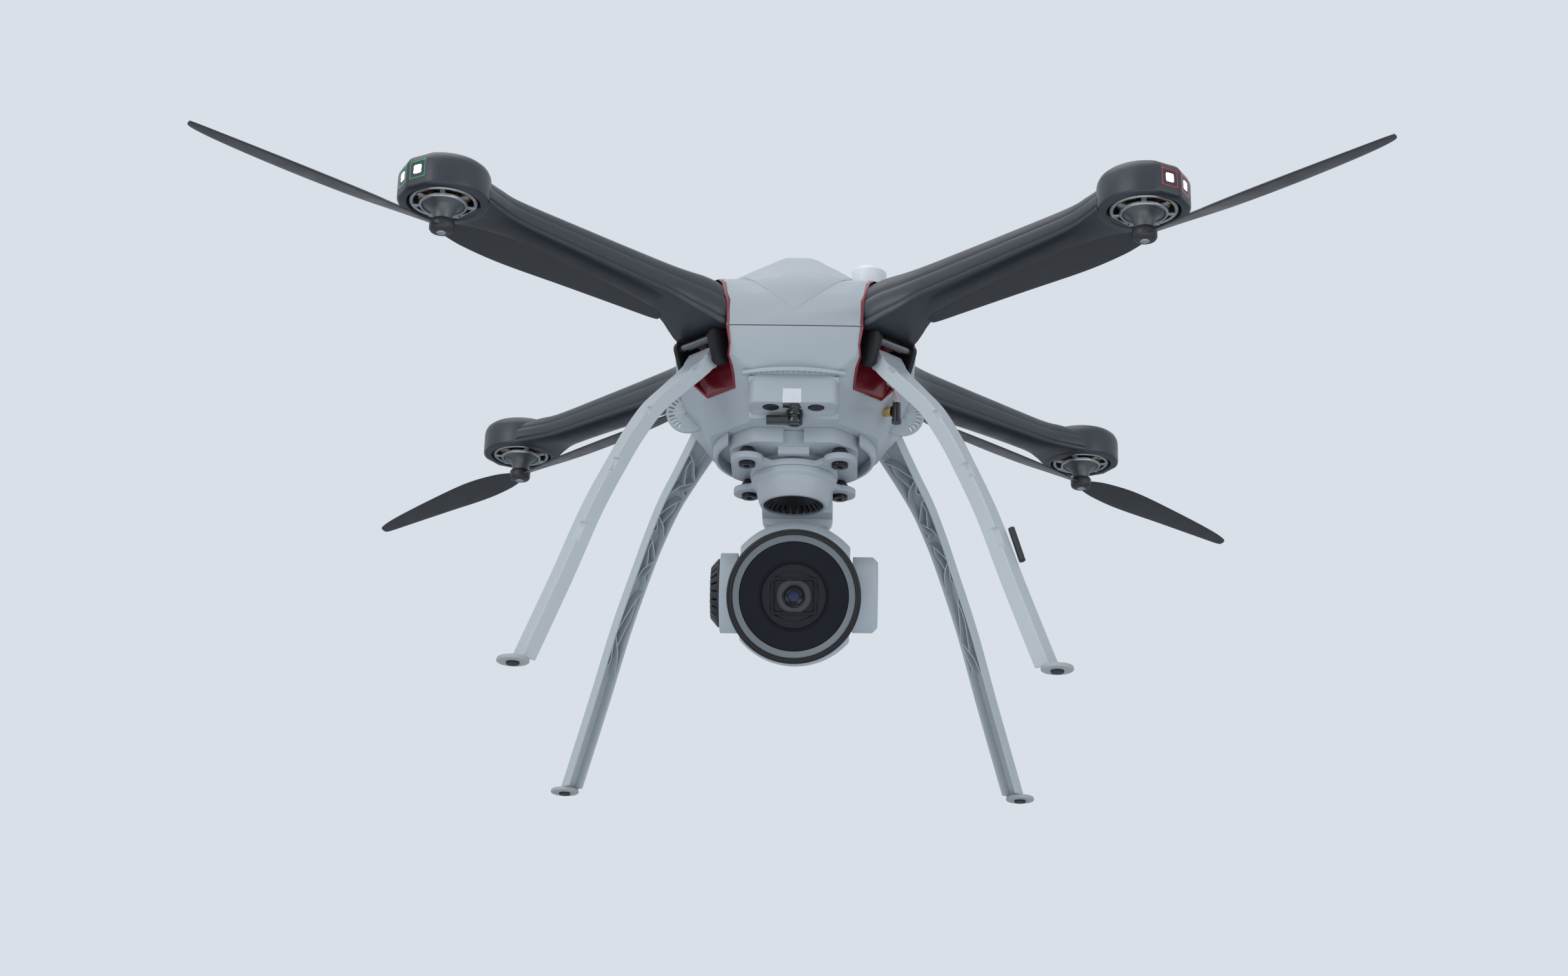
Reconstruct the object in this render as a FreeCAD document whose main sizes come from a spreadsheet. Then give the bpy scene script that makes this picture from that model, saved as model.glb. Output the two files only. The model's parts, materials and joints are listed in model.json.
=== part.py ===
import FreeCAD, Part
import math
import os
import Sketcher
from FreeCAD import Placement, Rotation, Vector

# Folding four-arm camera drone with four landing legs and a three-axis gimbal.
# Millimetres, +Z up, front towards -Y, origin on the ground under the middle of the machine.

doc = FreeCAD.newDocument("camera_drone")

# ------------------------------------------------------------------ sizes
SIZES = {
    # arms, along a diagonal from the machine's axis
    "motor_reach": 318.2,
    "arm_root_back": 88.0,
    "arm_top": 312.5,
    "arm_root_half": 24.6,
    "arm_beam_half": 13.0,
    "skirt_low": 273.0,
    "beam_low": 287.0,
    # motor pods
    "pod_radius": 30.0,
    "pod_end": 28.6,
    "pod_top": 316.5,
    "pod_low": 291.0,
    "pocket_radius": 23.5,
    "pocket_top": 312.5,
    "lamp_side": 13.0,
    "lamp_level": 303.4,
    "lamp_depth": 2.5,
    "lamp_turn": 16.0,
    # motors
    "bell_radius": 22.0,
    "bell_wall": 1.7,
    "bell_low": 291.9,
    "bell_height": 17.0,
    "stator_radius": 18.9,
    "shaft_radius": 2.0,
    "shaft_gap": 0.05,
    "stud_radius": 3.25,
    "hub_neck_radius": 6.0,
    # propellers
    "prop_radius": 190.0,
    "prop_chord": 24.0,
    "prop_level": 275.0,
    "cap_radius": 8.2,
    "cap_low": 270.9,
    "cap_top": 279.2,
    "stud_low": 270.0,
    # hinges
    "arm_pin_reach": 96.0,
    "arm_pin_level": 264.5,
    "arm_pin_radius": 3.0,
    "arm_lug_radius": 6.3,
    "arm_lug_half": 12.0,
    "leg_pin_reach": 91.0,
    "leg_pin_level": 250.0,
    "leg_pin_radius": 2.5,
    "leg_lug_radius": 5.6,
    "leg_lug_half": 10.0,
    "pin_gap": 0.06,
    "cheek_in": 15.5,
    "cheek_thick": 3.2,
    "pin_recess": 0.6,
    # legs
    "leg_face": 12.0,
    "leg_mouth": 14.0,
    "leg_depth": 10.0,
    "leg_wall": 1.5,
    "leg_root_width": 27.0,
    "foot_reach": 240.0,
    "foot_radius": 10.5,
    "foot_top": 4.2,
    "foot_thick": 2.8,
    "pad_radius": 4.2,
    # body shells
    "body_half": 85.0,
    "corner_reach": 92.4,
    "parting_level": 271.6,
    "parting_gap": 0.8,
    "shell_wall": 2.5,
    "shell_top": 321.0,
    "hood_top": 325.0,
    "floor_level": 212.0,
    "liner_wall": 1.6,
    "socket_back": 72.0,
    # nose
    "nose_half": 31.0,
    "nose_setback": 8.0,
    "nose_top": 235.5,
    # battery bay and dome
    "bay_half": 38.0,
    "bay_front": 36.0,
    "bay_rear": 46.0,
    "bay_floor": 292.0,
    "battery_top": 338.0,
    "fit_gap": 0.3,
    "dome_top": 365.5,
    # payload dock and dampers
    "dock_half": 45.0,
    "dock_corner": 52.0,
    "dock_low": 201.0,
    "collar_radius": 61.0,
    "collar_bore": 54.4,
    "collar_low": 203.5,
    "collar_gate": 46.0,
    "damper_pitch": 32.4,
    "damper_radius": 6.3,
    "plate_low": 190.0,
    "plate_thick": 4.5,
    "plate_lobe": 11.5,
    "plate_ring": 31.0,
    "screw_head_radius": 5.8,
    "screw_head_low": 187.4,
    "screw_clear": 1.2,
    # yaw stage
    "yaw_flange_radius": 30.0,
    "yaw_rim_radius": 23.2,
    "yaw_rim_low": 169.8,
    "yaw_wall": 2.0,
    "yaw_shaft_radius": 10.0,
    "neck_half": 15.0,
    # camera ball
    "ball_side": 2.5,
    "ball_level": 104.5,
    "ball_radius": 50.5,
    "ball_flat": 38.0,
    "ball_pitch": 20.0,
    "trunnion_radius": 8.0,
    "bracket_in": 40.0,
    "bracket_left": 52.0,
    "bracket_right": 57.5,
    "left_disc_radius": 28.0,
    "right_disc_radius": 26.5,
    "knob_radius": 24.0,
    "knob_tip": 58.7,
    "bracket_half_height": 11.0,
    "bracket_back": 61.0,
    "bridge_thick": 6.0,
    # lens
    "bezel_radius": 45.8,
    "bezel_bore": 42.0,
    "bezel_front": 52.0,
    "bezel_back": 42.0,
    "glass_radius": 37.2,
    "window_radius": 22.5,
    "lens_radius": 8.0,
}

sheet = doc.addObject("Spreadsheet::Sheet", "sizes")
for row, (alias, value) in enumerate(SIZES.items(), start=1):
    sheet.set(f"A{row}", alias)
    sheet.set(f"B{row}", str(value))
    sheet.setAlias(f"B{row}", alias)
doc.recompute()


class Size(float):
    """A number that also carries the sheet formula that it comes from."""

    def __new__(cls, value, formula=None):
        number = super().__new__(cls, value)
        number.formula = formula
        return number

    def joined(self, other, sign, value, reverse=False):
        mine, theirs = formula_of(self), formula_of(other)
        first, second = (theirs, mine) if reverse else (mine, theirs)
        return Size(value, f"({first} {sign} {second})")

    def __add__(self, other):
        return self.joined(other, "+", float(self) + float(other))

    def __radd__(self, other):
        return self.joined(other, "+", float(other) + float(self), True)

    def __sub__(self, other):
        return self.joined(other, "-", float(self) - float(other))

    def __rsub__(self, other):
        return self.joined(other, "-", float(other) - float(self), True)

    def __mul__(self, other):
        return self.joined(other, "*", float(self) * float(other))

    def __rmul__(self, other):
        return self.joined(other, "*", float(other) * float(self), True)

    def __truediv__(self, other):
        return self.joined(other, "/", float(self) / float(other))

    def __neg__(self):
        return Size(-float(self), f"(-1 * {formula_of(self)})")


def formula_of(number):
    formula = getattr(number, "formula", None)
    return formula if formula else repr(float(number))


class Sizes:
    """The sheet's cells as attributes, each a Size."""

    def __getattr__(self, alias):
        return Size(getattr(sheet, alias), f"sizes.{alias}")


dim = Sizes()
nodes = []
XAXIS, YAXIS, ZAXIS = Vector(1, 0, 0), Vector(0, 1, 0), Vector(0, 0, 1)

CORNERS = (
    ("front_right", 225.0),
    ("front_left", 315.0),
    ("rear_left", 45.0),
    ("rear_right", 135.0),
)


# ------------------------------------------------------------------ helpers
def new_body(label):
    body = doc.addObject("PartDesign::Body", label)
    body.Label = label
    nodes.append(body)
    return body


def turned(obj, degrees, reach=0.0, level=0.0):
    """Stands an object at a reach along the direction that is so many degrees from +X."""
    angle = math.radians(degrees)
    obj.Placement = Placement(Vector(0, 0, 0), Rotation(ZAXIS, degrees))
    for axis, share in (("x", math.cos(angle)), ("y", math.sin(angle))):
        obj.setExpression(f"Placement.Base.{axis}", formula_of(reach * round(share, 12)))
    obj.setExpression("Placement.Base.z", formula_of(level))


def sketch_on(body, role, name, lift=0.0):
    plane = next(item for item in body.Origin.OriginFeatures if item.Role == role)
    sketch = body.newObject("Sketcher::SketchObject", name)
    sketch.AttachmentSupport = [(plane, "")]
    sketch.MapMode = "FlatFace"
    if formula_of(lift) != "0.0":
        sketch.setExpression("AttachmentOffset.Base.z", formula_of(lift))
    return sketch


def outline(sketch, points):
    """A closed outline of straight sides whose corners are bound to the sheet."""
    count = len(points)
    corners = [Vector(float(x), float(y), 0) for x, y in points]
    base = sketch.GeometryCount
    for index in range(count):
        line = Part.LineSegment(corners[index], corners[(index + 1) % count])
        sketch.addGeometry(line, False)
    for index in range(count):
        following = base + (index + 1) % count
        sketch.addConstraint(Sketcher.Constraint("Coincident", base + index, 2, following, 1))
    for index, (x, y) in enumerate(points):
        for kind, number in (("DistanceX", x), ("DistanceY", y)):
            rule = Sketcher.Constraint(kind, -1, 1, base + index, 1, float(number))
            place = sketch.addConstraint(rule)
            if getattr(number, "formula", None):
                sketch.setExpression(f"Constraints[{place}]", number.formula)


def circle(sketch, x, y, radius):
    place = sketch.addGeometry(
        Part.Circle(Vector(float(x), float(y), 0), ZAXIS, float(radius)), False
    )
    rules = (
        Sketcher.Constraint("DistanceX", -1, 1, place, 3, float(x)),
        Sketcher.Constraint("DistanceY", -1, 1, place, 3, float(y)),
        Sketcher.Constraint("Radius", place, float(radius)),
    )
    for rule, number in zip(rules, (x, y, radius)):
        index = sketch.addConstraint(rule)
        if getattr(number, "formula", None):
            sketch.setExpression(f"Constraints[{index}]", number.formula)


def revolved(body, points, name="turned_form"):
    """Turns an outline of (radius, level) points about the body's Z axis."""
    sketch = sketch_on(body, "XZ_Plane", name + "_profile")
    outline(sketch, points)
    feature = body.newObject("PartDesign::Revolution", name)
    feature.Profile = sketch
    feature.ReferenceAxis = (sketch, ["V_Axis"])
    feature.Angle = 360.0
    sketch.Visibility = False
    return feature


def padded(body, role, points, length, lift=0.0, name="plate", back=False):
    sketch = sketch_on(body, role, name + "_outline", lift)
    outline(sketch, points)
    feature = body.newObject("PartDesign::Pad", name)
    feature.Profile = sketch
    feature.Reversed = back
    feature.setExpression("Length", formula_of(length))
    return feature


def pocket(body, sketch, name, length=None, back=False):
    feature = body.newObject("PartDesign::Pocket", name)
    feature.Profile = sketch
    feature.Reversed = back
    if length is None:
        feature.Type = "ThroughAll"
    else:
        feature.setExpression("Length", formula_of(length))
    return feature


def ringed(body, feature, count, name="ring_pattern"):
    """Repeats a feature evenly about the body's Z axis."""
    axis = next(item for item in body.Origin.OriginFeatures if item.Role == "Z_Axis")
    pattern = body.newObject("PartDesign::PolarPattern", name)
    pattern.Originals = [feature]
    pattern.Axis = (axis, [""])
    pattern.Angle = 360.0
    pattern.Occurrences = count
    body.Tip = pattern
    return pattern


def solid_node(label, shape, degrees=0.0):
    node = doc.addObject("Part::Feature", label)
    node.Label = label
    node.Shape = shape
    node.Placement = Placement(Vector(0, 0, 0), Rotation(ZAXIS, degrees)) * shape.Placement
    nodes.append(node)
    return node


def box(x0, x1, y0, y1, z0, z1):
    return Part.makeBox(x1 - x0, y1 - y0, z1 - z0, Vector(x0, y0, z0))


def rod(radius, start, end):
    way = Vector(*end) - Vector(*start)
    return Part.makeCylinder(radius, way.Length, Vector(*start), way)


def bevelled_wire(corners, radius, sides=1):
    """A closed flat wire through the corners, each cut off by short sides about an arc."""
    points = []
    for index, corner in enumerate(corners):
        before = (corners[index - 1] - corner).normalize()
        after = (corners[(index + 1) % len(corners)] - corner).normalize()
        half = before.getAngle(after) / 2
        centre = corner + (before + after).normalize() * (radius / math.sin(half))
        first = corner + before * (radius / math.tan(half)) - centre
        last = corner + after * (radius / math.tan(half)) - centre
        for step in range(sides + 1):
            spoke = first * (1 - step / sides) + last * (step / sides)
            points.append(centre + spoke.normalize() * radius)
    return Part.makePolygon(points + points[:1])


def octagon(half, corner, level, radius=6.0):
    """The body's plan at one level: four flats, and a chord across each corner."""
    near = corner * math.sqrt(2) - half
    plan = [(near, -half), (half, -near), (half, near), (near, half)]
    plan += [(-x, -y) for x, y in plan]
    return bevelled_wire([Vector(x, y, level) for x, y in plan], radius)


def prism(points, axis, start, length):
    """A closed polygon in the plane across an axis, drawn out along that axis."""
    if axis == "x":
        corners = [Vector(start, a, b) for a, b in points]
        way = Vector(length, 0, 0)
    elif axis == "y":
        corners = [Vector(a, start, b) for a, b in points]
        way = Vector(0, length, 0)
    else:
        corners = [Vector(a, b, start) for a, b in points]
        way = Vector(0, 0, length)
    return Part.Face(Part.makePolygon(corners + corners[:1])).extrude(way)


def mirrored_t(points):
    return points + [(-t, z) for t, z in reversed(points) if t > 1e-9]


def spun(points, centre=(0.0, 0.0)):
    """A solid of revolution about a vertical axis, from (radius, level) points."""
    x, y = centre
    corners = [Vector(x + r, y, z) for r, z in points]
    face = Part.Face(Part.makePolygon(corners + corners[:1]))
    return face.revolve(Vector(x, y, 0), ZAXIS, 360)


def about_diagonals(shape):
    """Four copies of a shape that is drawn along +X, one on each diagonal."""
    copies = []
    for _, degrees in CORNERS:
        copy = shape.copy()
        copy.rotate(Vector(0, 0, 0), ZAXIS, degrees)
        copies.append(copy)
    return copies


# ------------------------------------------------------------------ body shells
def shell_form(stations, inset=0.0):
    wires = [octagon(half - inset, corner - inset, level) for half, corner, level in stations]
    return Part.makeLoft(wires, True, True)


seam_high = dim.parting_level + dim.parting_gap / 2
seam_low = dim.parting_level - dim.parting_gap / 2
UPPER_STATIONS = (
    (dim.body_half, dim.corner_reach, seam_high),
    (dim.body_half - 5.5, dim.corner_reach - 0.2, seam_high + 26),
    (dim.body_half - 10.5, dim.corner_reach - 1.5, seam_high + 38),
    (dim.body_half - 17, dim.corner_reach - 6, dim.shell_top - 7),
    (dim.body_half - 27, dim.corner_reach - 16, dim.shell_top - 2.5),
    (dim.body_half - 35, dim.corner_reach - 30, dim.shell_top),
)
LOWER_STATIONS = (
    (dim.collar_radius - 2, dim.collar_radius - 1, dim.floor_level),
    (dim.body_half - 18, dim.corner_reach - 27, dim.floor_level + 11),
    (dim.body_half - 8, dim.corner_reach - 21, dim.floor_level + 22),
    (dim.body_half - 5, dim.corner_reach - 15, dim.floor_level + 29),
    (dim.body_half - 1.5, dim.corner_reach - 4.5, seam_low - 20),
    (dim.body_half, dim.corner_reach, seam_low),
)
upper_form = shell_form(UPPER_STATIONS)
lower_form = shell_form(LOWER_STATIONS)

# the hood: a prow that rises from a point on the front face and crowns the top
HOOD = (
    (0.8, 0.8, dim.body_half - 3.2, seam_high + 15),
    (30.0, 35.0, dim.body_half - 8.6, dim.hood_top - 15),
    (25.0, 35.0, dim.body_half - 17, dim.hood_top - 4.5),
    (19.0, 34.0, dim.body_half - 29, dim.hood_top),
)
hood_back = dim.bay_front + 6
hood_wires = []
for front_half, back_half, reach, level in HOOD:
    plan = [(-front_half, -reach), (front_half, -reach), (back_half, -hood_back), (-back_half, -hood_back)]
    corners = [Vector(x, y, level) for x, y in plan]
    hood_wires.append(Part.makePolygon(corners + corners[:1]))
hood = Part.makeLoft(hood_wires, True, True)

# corner socket: an arch that the arm root fills, with a narrow scoop below for the leg
lug_room = dim.arm_root_half + dim.liner_wall + 1.1
SOCKET = mirrored_t([
    (lug_room - 13.5, dim.parting_level - 38),
    (lug_room - 5, dim.parting_level - 26),
    (lug_room, dim.parting_level - 13),
    (lug_room, dim.parting_level + 4),
    (lug_room - 2.2, dim.arm_top - 20),
    (lug_room - 8.5, dim.arm_top - 4.5),
    (lug_room - 15.5, dim.arm_top + 2.2),
])


def shrunk(points, step):
    """A convex outline moved inwards all round by a step."""
    wire = Part.makePolygon([Vector(t, z, 0) for t, z in points + points[:1]])
    inner = wire.makeOffset2D(-step, 2)
    return [(vertex.X, vertex.Y) for vertex in inner.OrderedVertexes]


socket_tool = prism(SOCKET, "x", dim.socket_back, 40)
liner_bore = prism(shrunk(SOCKET, dim.liner_wall), "x", dim.socket_back + dim.liner_wall, 40)

wall = dim.shell_wall
upper_shell = upper_form.fuse(hood).cut(shell_form(
    [(a, c, z - (0 if index == 0 else wall)) for index, (a, c, z) in enumerate(UPPER_STATIONS)],
    inset=wall,
))
bay_outer = box(-dim.bay_half - 2, dim.bay_half + 2, -dim.bay_front - 2, dim.bay_rear + 2,
                dim.bay_floor - 2, dim.shell_top)
bay_inner = box(-dim.bay_half, dim.bay_half, -dim.bay_front, dim.bay_rear,
                dim.bay_floor, dim.shell_top + 10)
upper_shell = upper_shell.fuse(bay_outer.common(upper_form)).cut(bay_inner)
upper_shell = upper_shell.cut(about_diagonals(socket_tool)[0].multiFuse(
    about_diagonals(socket_tool)[1:]))

lower_shell = lower_form.cut(shell_form(
    [(a, c, z + (wall if index == 0 else 0)) for index, (a, c, z) in enumerate(LOWER_STATIONS)],
    inset=wall,
))
nose_low = dim.floor_level
nose_front = dim.body_half - dim.nose_setback
bevel_low = (-nose_front + 7.8, nose_low)
bevel_high = (-nose_front - 0.6, nose_low + 9)
NOSE = [
    bevel_high, (-nose_front - 2, dim.nose_top), (-dim.body_half + 18, dim.nose_top + 8),
    (-dim.collar_radius + 12, nose_low + 4), (-dim.collar_radius + 12, nose_low), bevel_low,
]
nose = prism(NOSE, "x", -dim.nose_half, 2 * dim.nose_half)
nose_hollow = prism(shrunk(NOSE, wall), "x", -dim.nose_half + wall, 2 * (dim.nose_half - wall))
lower_shell = lower_shell.fuse(nose).cut(nose_hollow)
board_level = dim.parting_level - 12
post_radius = 3.0
post_reach = dim.body_half - 30
for x, y in ((1, 0), (-1, 0), (0, 1), (0, -1)):
    post = Part.makeCylinder(post_radius, board_level - dim.floor_level - 1,
                             Vector(x * post_reach, y * post_reach, dim.floor_level + 1))
    lower_shell = lower_shell.fuse(post)
lower_shell = lower_shell.cut(about_diagonals(socket_tool)[0].multiFuse(
    about_diagonals(socket_tool)[1:]))

# side discs sit in slots in the flanks
disc_radius = 15.5
disc_reach = dim.body_half - 8.7
disc_level = dim.floor_level + 24
disc_thick = 2.4
disc_place = -10.0
discs = {}
for side, name in ((-1, "left"), (1, "right")):
    centre = (side * disc_reach, disc_place - disc_thick / 2, disc_level)
    disc = rod(disc_radius, centre, (centre[0], centre[1] + disc_thick, disc_level))
    slot = rod(disc_radius + dim.fit_gap, (centre[0], centre[1] - dim.fit_gap, disc_level),
               (centre[0], centre[1] + disc_thick + dim.fit_gap, disc_level))
    for step in range(-4, 5):
        rib = box(disc_radius - 5.5, disc_radius - 1.5, -2, 2, -0.6, 0.6)
        rib.rotate(Vector(0, 0, 0), YAXIS, -step * 15.0)
        if side < 0:
            rib.rotate(Vector(0, 0, 0), ZAXIS, 180)
        rib.translate(Vector(centre[0], disc_place, disc_level))
        disc = disc.cut(rib)
    screw = rod(2.0, (centre[0] + side * 3, centre[1] - 1.4, disc_level),
                (centre[0] + side * 3, centre[1] + 0.1, disc_level))
    discs[name] = disc.fuse(screw)
    lower_shell = lower_shell.cut(slot)
    lower_shell = lower_shell.cut(rod(2.4, (centre[0] + side * 3, centre[1] - 1.8, disc_level),
                                      (centre[0] + side * 3, centre[1] + 0.1, disc_level)))
side_discs = discs["left"].fuse(discs["right"])
solid_node("side_discs", side_discs)

# red liner of each socket, trimmed to the body's outside with a thin rim standing proud
rim = 0.5
envelope = shell_form([(a, c, z) for a, c, z in LOWER_STATIONS], inset=-rim).fuse(
    shell_form([(a, c, z) for a, c, z in UPPER_STATIONS], inset=-rim))
envelope = envelope.fuse(shell_form([
    (dim.body_half, dim.corner_reach, seam_low - 0.1),
    (dim.body_half, dim.corner_reach, seam_high + 0.1)], inset=-rim))
liner = prism(SOCKET, "x", dim.socket_back, 40).cut(liner_bore)
liners = [piece.common(envelope) for piece in about_diagonals(liner)]

# seam gasket between the two shells, just inside the outer faces
gasket_stations = [(dim.body_half, dim.corner_reach, seam_low),
                   (dim.body_half, dim.corner_reach, seam_high)]
gasket = shell_form(gasket_stations, inset=0.9).cut(shell_form(gasket_stations, inset=2.2))
gasket = gasket.cut(about_diagonals(socket_tool)[0].multiFuse(about_diagonals(socket_tool)[1:]))
solid_node("seam_gasket", gasket)

# dome over the battery, seated on the shell's slopes
DOME = (
    (50, -48, 58, dim.shell_top - 6),
    (47, -43, 54, dim.shell_top + 15),
    (39.5, -34, 46, dim.dome_top - 16.5),
    (22.7, -17, 32, dim.dome_top - 4.5),
    (10.5, -7, 22, dim.dome_top),
)


def dome_form(inset):
    wires = []
    for half, front, rear, level in DOME:
        half, front, rear = half - inset, front + inset, rear - inset
        plan = [(half, front), (half, rear), (-half, rear), (-half, front)]
        low = inset if level > DOME[0][3] else 0
        wires.append(bevelled_wire([Vector(x, y, level - low) for x, y in plan], 7.0, 2))
    return Part.makeLoft(wires, True, True)


dome = dome_form(0.0).cut(upper_form).cut(hood).cut(dome_form(2.2))
dome = dome.cut(box(-12.5, 12.5, -55, -41.8, dim.hood_top + 3, dim.hood_top + 7))
solid_node("dome_cover", dome)
battery = box(-dim.bay_half + dim.fit_gap, dim.bay_half - dim.fit_gap,
              -dim.bay_front + dim.fit_gap + 10, dim.bay_rear - dim.fit_gap - 10,
              dim.bay_floor, dim.battery_top)
solid_node("battery_pack", battery.makeChamfer(2.5, battery.Edges))

# control board on the posts
board = Part.Face(octagon(60, 68, board_level, 2.0)).extrude(Vector(0, 0, 1.6))
chips = [(-22, -18, 20, 16, 3.0), (10, -30, 26, 20, 4.0), (-30, 14, 18, 22, 3.5), (12, 12, 14, 14, 2)]
for x, y, across, along, tall in chips:
    board = board.fuse(box(x, x + across, y, y + along, board_level + 1.6,
                           board_level + 1.6 + tall))
solid_node("control_board", board)
solid_node("upper_shell", upper_shell)

# antenna puck on the left-hand shoulder
puck_x, puck_y, puck_radius, puck_low = 51.0, -40.0, 12.8, dim.shell_top - 14
puck = spun([(0, puck_low), (puck_radius, puck_low), (puck_radius, puck_low + 25),
             (puck_radius - 3, puck_low + 28), (0, puck_low + 28)], (puck_x, puck_y))
solid_node("antenna_puck", puck.cut(upper_form).cut(hood).cut(dome_form(0.0)))

# ------------------------------------------------------------------ nose fittings
brow_level = dim.nose_top + 1.8
brow_half, brow_tall = 35.5, 2.6
brow_ends, brow_tip, brow_back = dim.body_half - 6, dim.body_half + 1.5, dim.body_half - 9
corners = [Vector(x, -reach, brow_level) for x, reach in (
    (-brow_half, brow_ends), (0, brow_tip), (brow_half, brow_ends), (brow_half, brow_back),
    (-brow_half, brow_back))]
brow = Part.Face(Part.Wire([
    Part.Arc(corners[0], corners[1], corners[2]).toShape(),
    Part.LineSegment(corners[2], corners[3]).toShape(),
    Part.LineSegment(corners[3], corners[4]).toShape(),
    Part.LineSegment(corners[4], corners[0]).toShape(),
])).extrude(Vector(0, 0, brow_tall))
slot_count, slot_pitch, slot_half, slot_deep, brow_rim = 17, 3.7, 0.9, 2.6, 1.6
for index in range(slot_count):
    x = (index - (slot_count - 1) / 2) * slot_pitch
    reach = brow_rim - brow_tip + (x / brow_half) ** 2 * 6.0
    brow = brow.cut(box(x - slot_half, x + slot_half, reach, reach + slot_deep, brow_level - 1,
                        brow_level + brow_tall + 1))
brow = brow.cut(lower_form).cut(nose)
solid_node("front_grille", brow)

strip = prism(shrunk(NOSE, -0.3), "x", -7.3, 12.7).cut(nose)
strip = strip.common(box(-10, 10, -100, bevel_low[0] - 1.5, nose_low + 1, nose_low + 14.5))
solid_node("reflective_strip", strip)

# two range finders look out of the nose's lower bevel
bevel_way = Vector(0, bevel_low[1] - bevel_high[1], bevel_high[0] - bevel_low[0]).normalize()
sensor_sunk, sensor_proud, sensor_radius = 1.2, 0.6, 6.0
sensors = []
for x in (-15.6, 15.6):
    centre = Vector(x, (bevel_low[0] + bevel_high[0]) / 2, (bevel_low[1] + bevel_high[1]) / 2)
    sensor = Part.makeCylinder(sensor_radius, sensor_sunk, centre - bevel_way * sensor_sunk,
                               bevel_way)
    lower_shell = lower_shell.cut(sensor)
    sensors.append(sensor.fuse(Part.makeCylinder(
        sensor_radius - 1, sensor_sunk + sensor_proud, centre - bevel_way * sensor_sunk, bevel_way)))
solid_node("range_sensors", Part.makeCompound(sensors))

# camlock that holds the payload: a fixed barrel and a lever that turns on its stem
lock_x, lock_y = 0.8, -nose_front + 14.0
lock_body = spun([(0, nose_low), (5.9, nose_low), (5.9, nose_low - 2.4), (2.5, nose_low - 2.4),
                  (2.5, nose_low - 8.2), (0, nose_low - 8.2)], (lock_x, lock_y))
solid_node("lock_body", lock_body)
lever = spun([(2.56, nose_low - 2.7), (5.6, nose_low - 2.7), (5.6, nose_low - 7.8),
              (4.6, nose_low - 8.6), (2.56, nose_low - 8.6)], (lock_x, lock_y))
lever_bar = box(lock_x - 19.5, lock_x - 4.2, lock_y - 3.4, lock_y + 3.4,
                nose_low - 7.6, nose_low - 2.9)
lever_bar = lever_bar.cut(rod(2.56, (lock_x, lock_y, nose_low - 9), (lock_x, lock_y, nose_low)))
solid_node("lock_lever", lever.fuse(lever_bar))

# ------------------------------------------------------------------ payload dock
collar = spun([
    (dim.collar_bore, dim.floor_level), (dim.collar_radius - 3, dim.floor_level),
    (dim.collar_radius - 3, dim.collar_low + 3), (dim.collar_radius - 4.4, dim.collar_low),
    (dim.collar_bore, dim.collar_low),
])
collar = collar.cut(box(-dim.collar_gate, dim.collar_gate, -70, -20,
                        dim.collar_low - 1, dim.floor_level + 1))
solid_node("payload_collar", collar)

dock = Part.Face(octagon(dim.dock_half, dim.dock_corner, dim.dock_low, 5.0)).extrude(
    Vector(0, 0, dim.floor_level - dim.dock_low))
dock = dock.cut(box(-7, 7, -50, -39, dim.dock_low - 1, dim.floor_level + 1))
dock = dock.fuse(box(-11, 11, -36, -30, dim.dock_low - 5, dim.dock_low + 1))
dock = dock.fuse(Part.makeCylinder(24, 3.4, Vector(0, 0, dim.dock_low - 3.4)))
solid_node("payload_dock", dock)

plate_top = dim.plate_low + dim.plate_thick
ball_tall = dim.dock_low - plate_top
places = [(x * dim.damper_pitch, y * dim.damper_pitch)
          for x, y in ((1, 1), (-1, 1), (-1, -1), (1, -1))]
balls = [spun([(0, plate_top), (dim.damper_radius - 1.2, plate_top),
               (dim.damper_radius, plate_top + ball_tall * 0.45),
               (dim.damper_radius - 2.2, dim.dock_low), (0, dim.dock_low)], place)
         for place in places]
solid_node("damper_balls", Part.makeCompound(balls))

lobes = [Part.makeCylinder(dim.plate_lobe, dim.plate_thick, Vector(x, y, dim.plate_low))
         for x, y in places]
plate = Part.makeCylinder(dim.plate_ring, dim.plate_thick, Vector(0, 0, dim.plate_low))
for angle in (45.0, 135.0):
    arm = box(-dim.damper_pitch * math.sqrt(2), dim.damper_pitch * math.sqrt(2),
              -8.5, 8.5, dim.plate_low, plate_top)
    arm.rotate(Vector(0, 0, 0), ZAXIS, angle)
    plate = plate.fuse(arm)
plate = plate.multiFuse(lobes).removeSplitter()
plate = plate.cut(Part.makeCylinder(dim.yaw_shaft_radius + 0.05, dim.plate_thick,
                                    Vector(0, 0, dim.plate_low)))
solid_node("damper_plate", plate)

screws = []
for place in places:
    head = spun([(0, dim.screw_head_low + 1.5), (2.0, dim.screw_head_low + 1.5),
                 (2.0, dim.screw_head_low), (dim.screw_head_radius, dim.screw_head_low),
                 (dim.screw_head_radius, dim.plate_low), (0, dim.plate_low)], place)
    screws.append(head)
solid_node("damper_screws", Part.makeCompound(screws))

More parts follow.
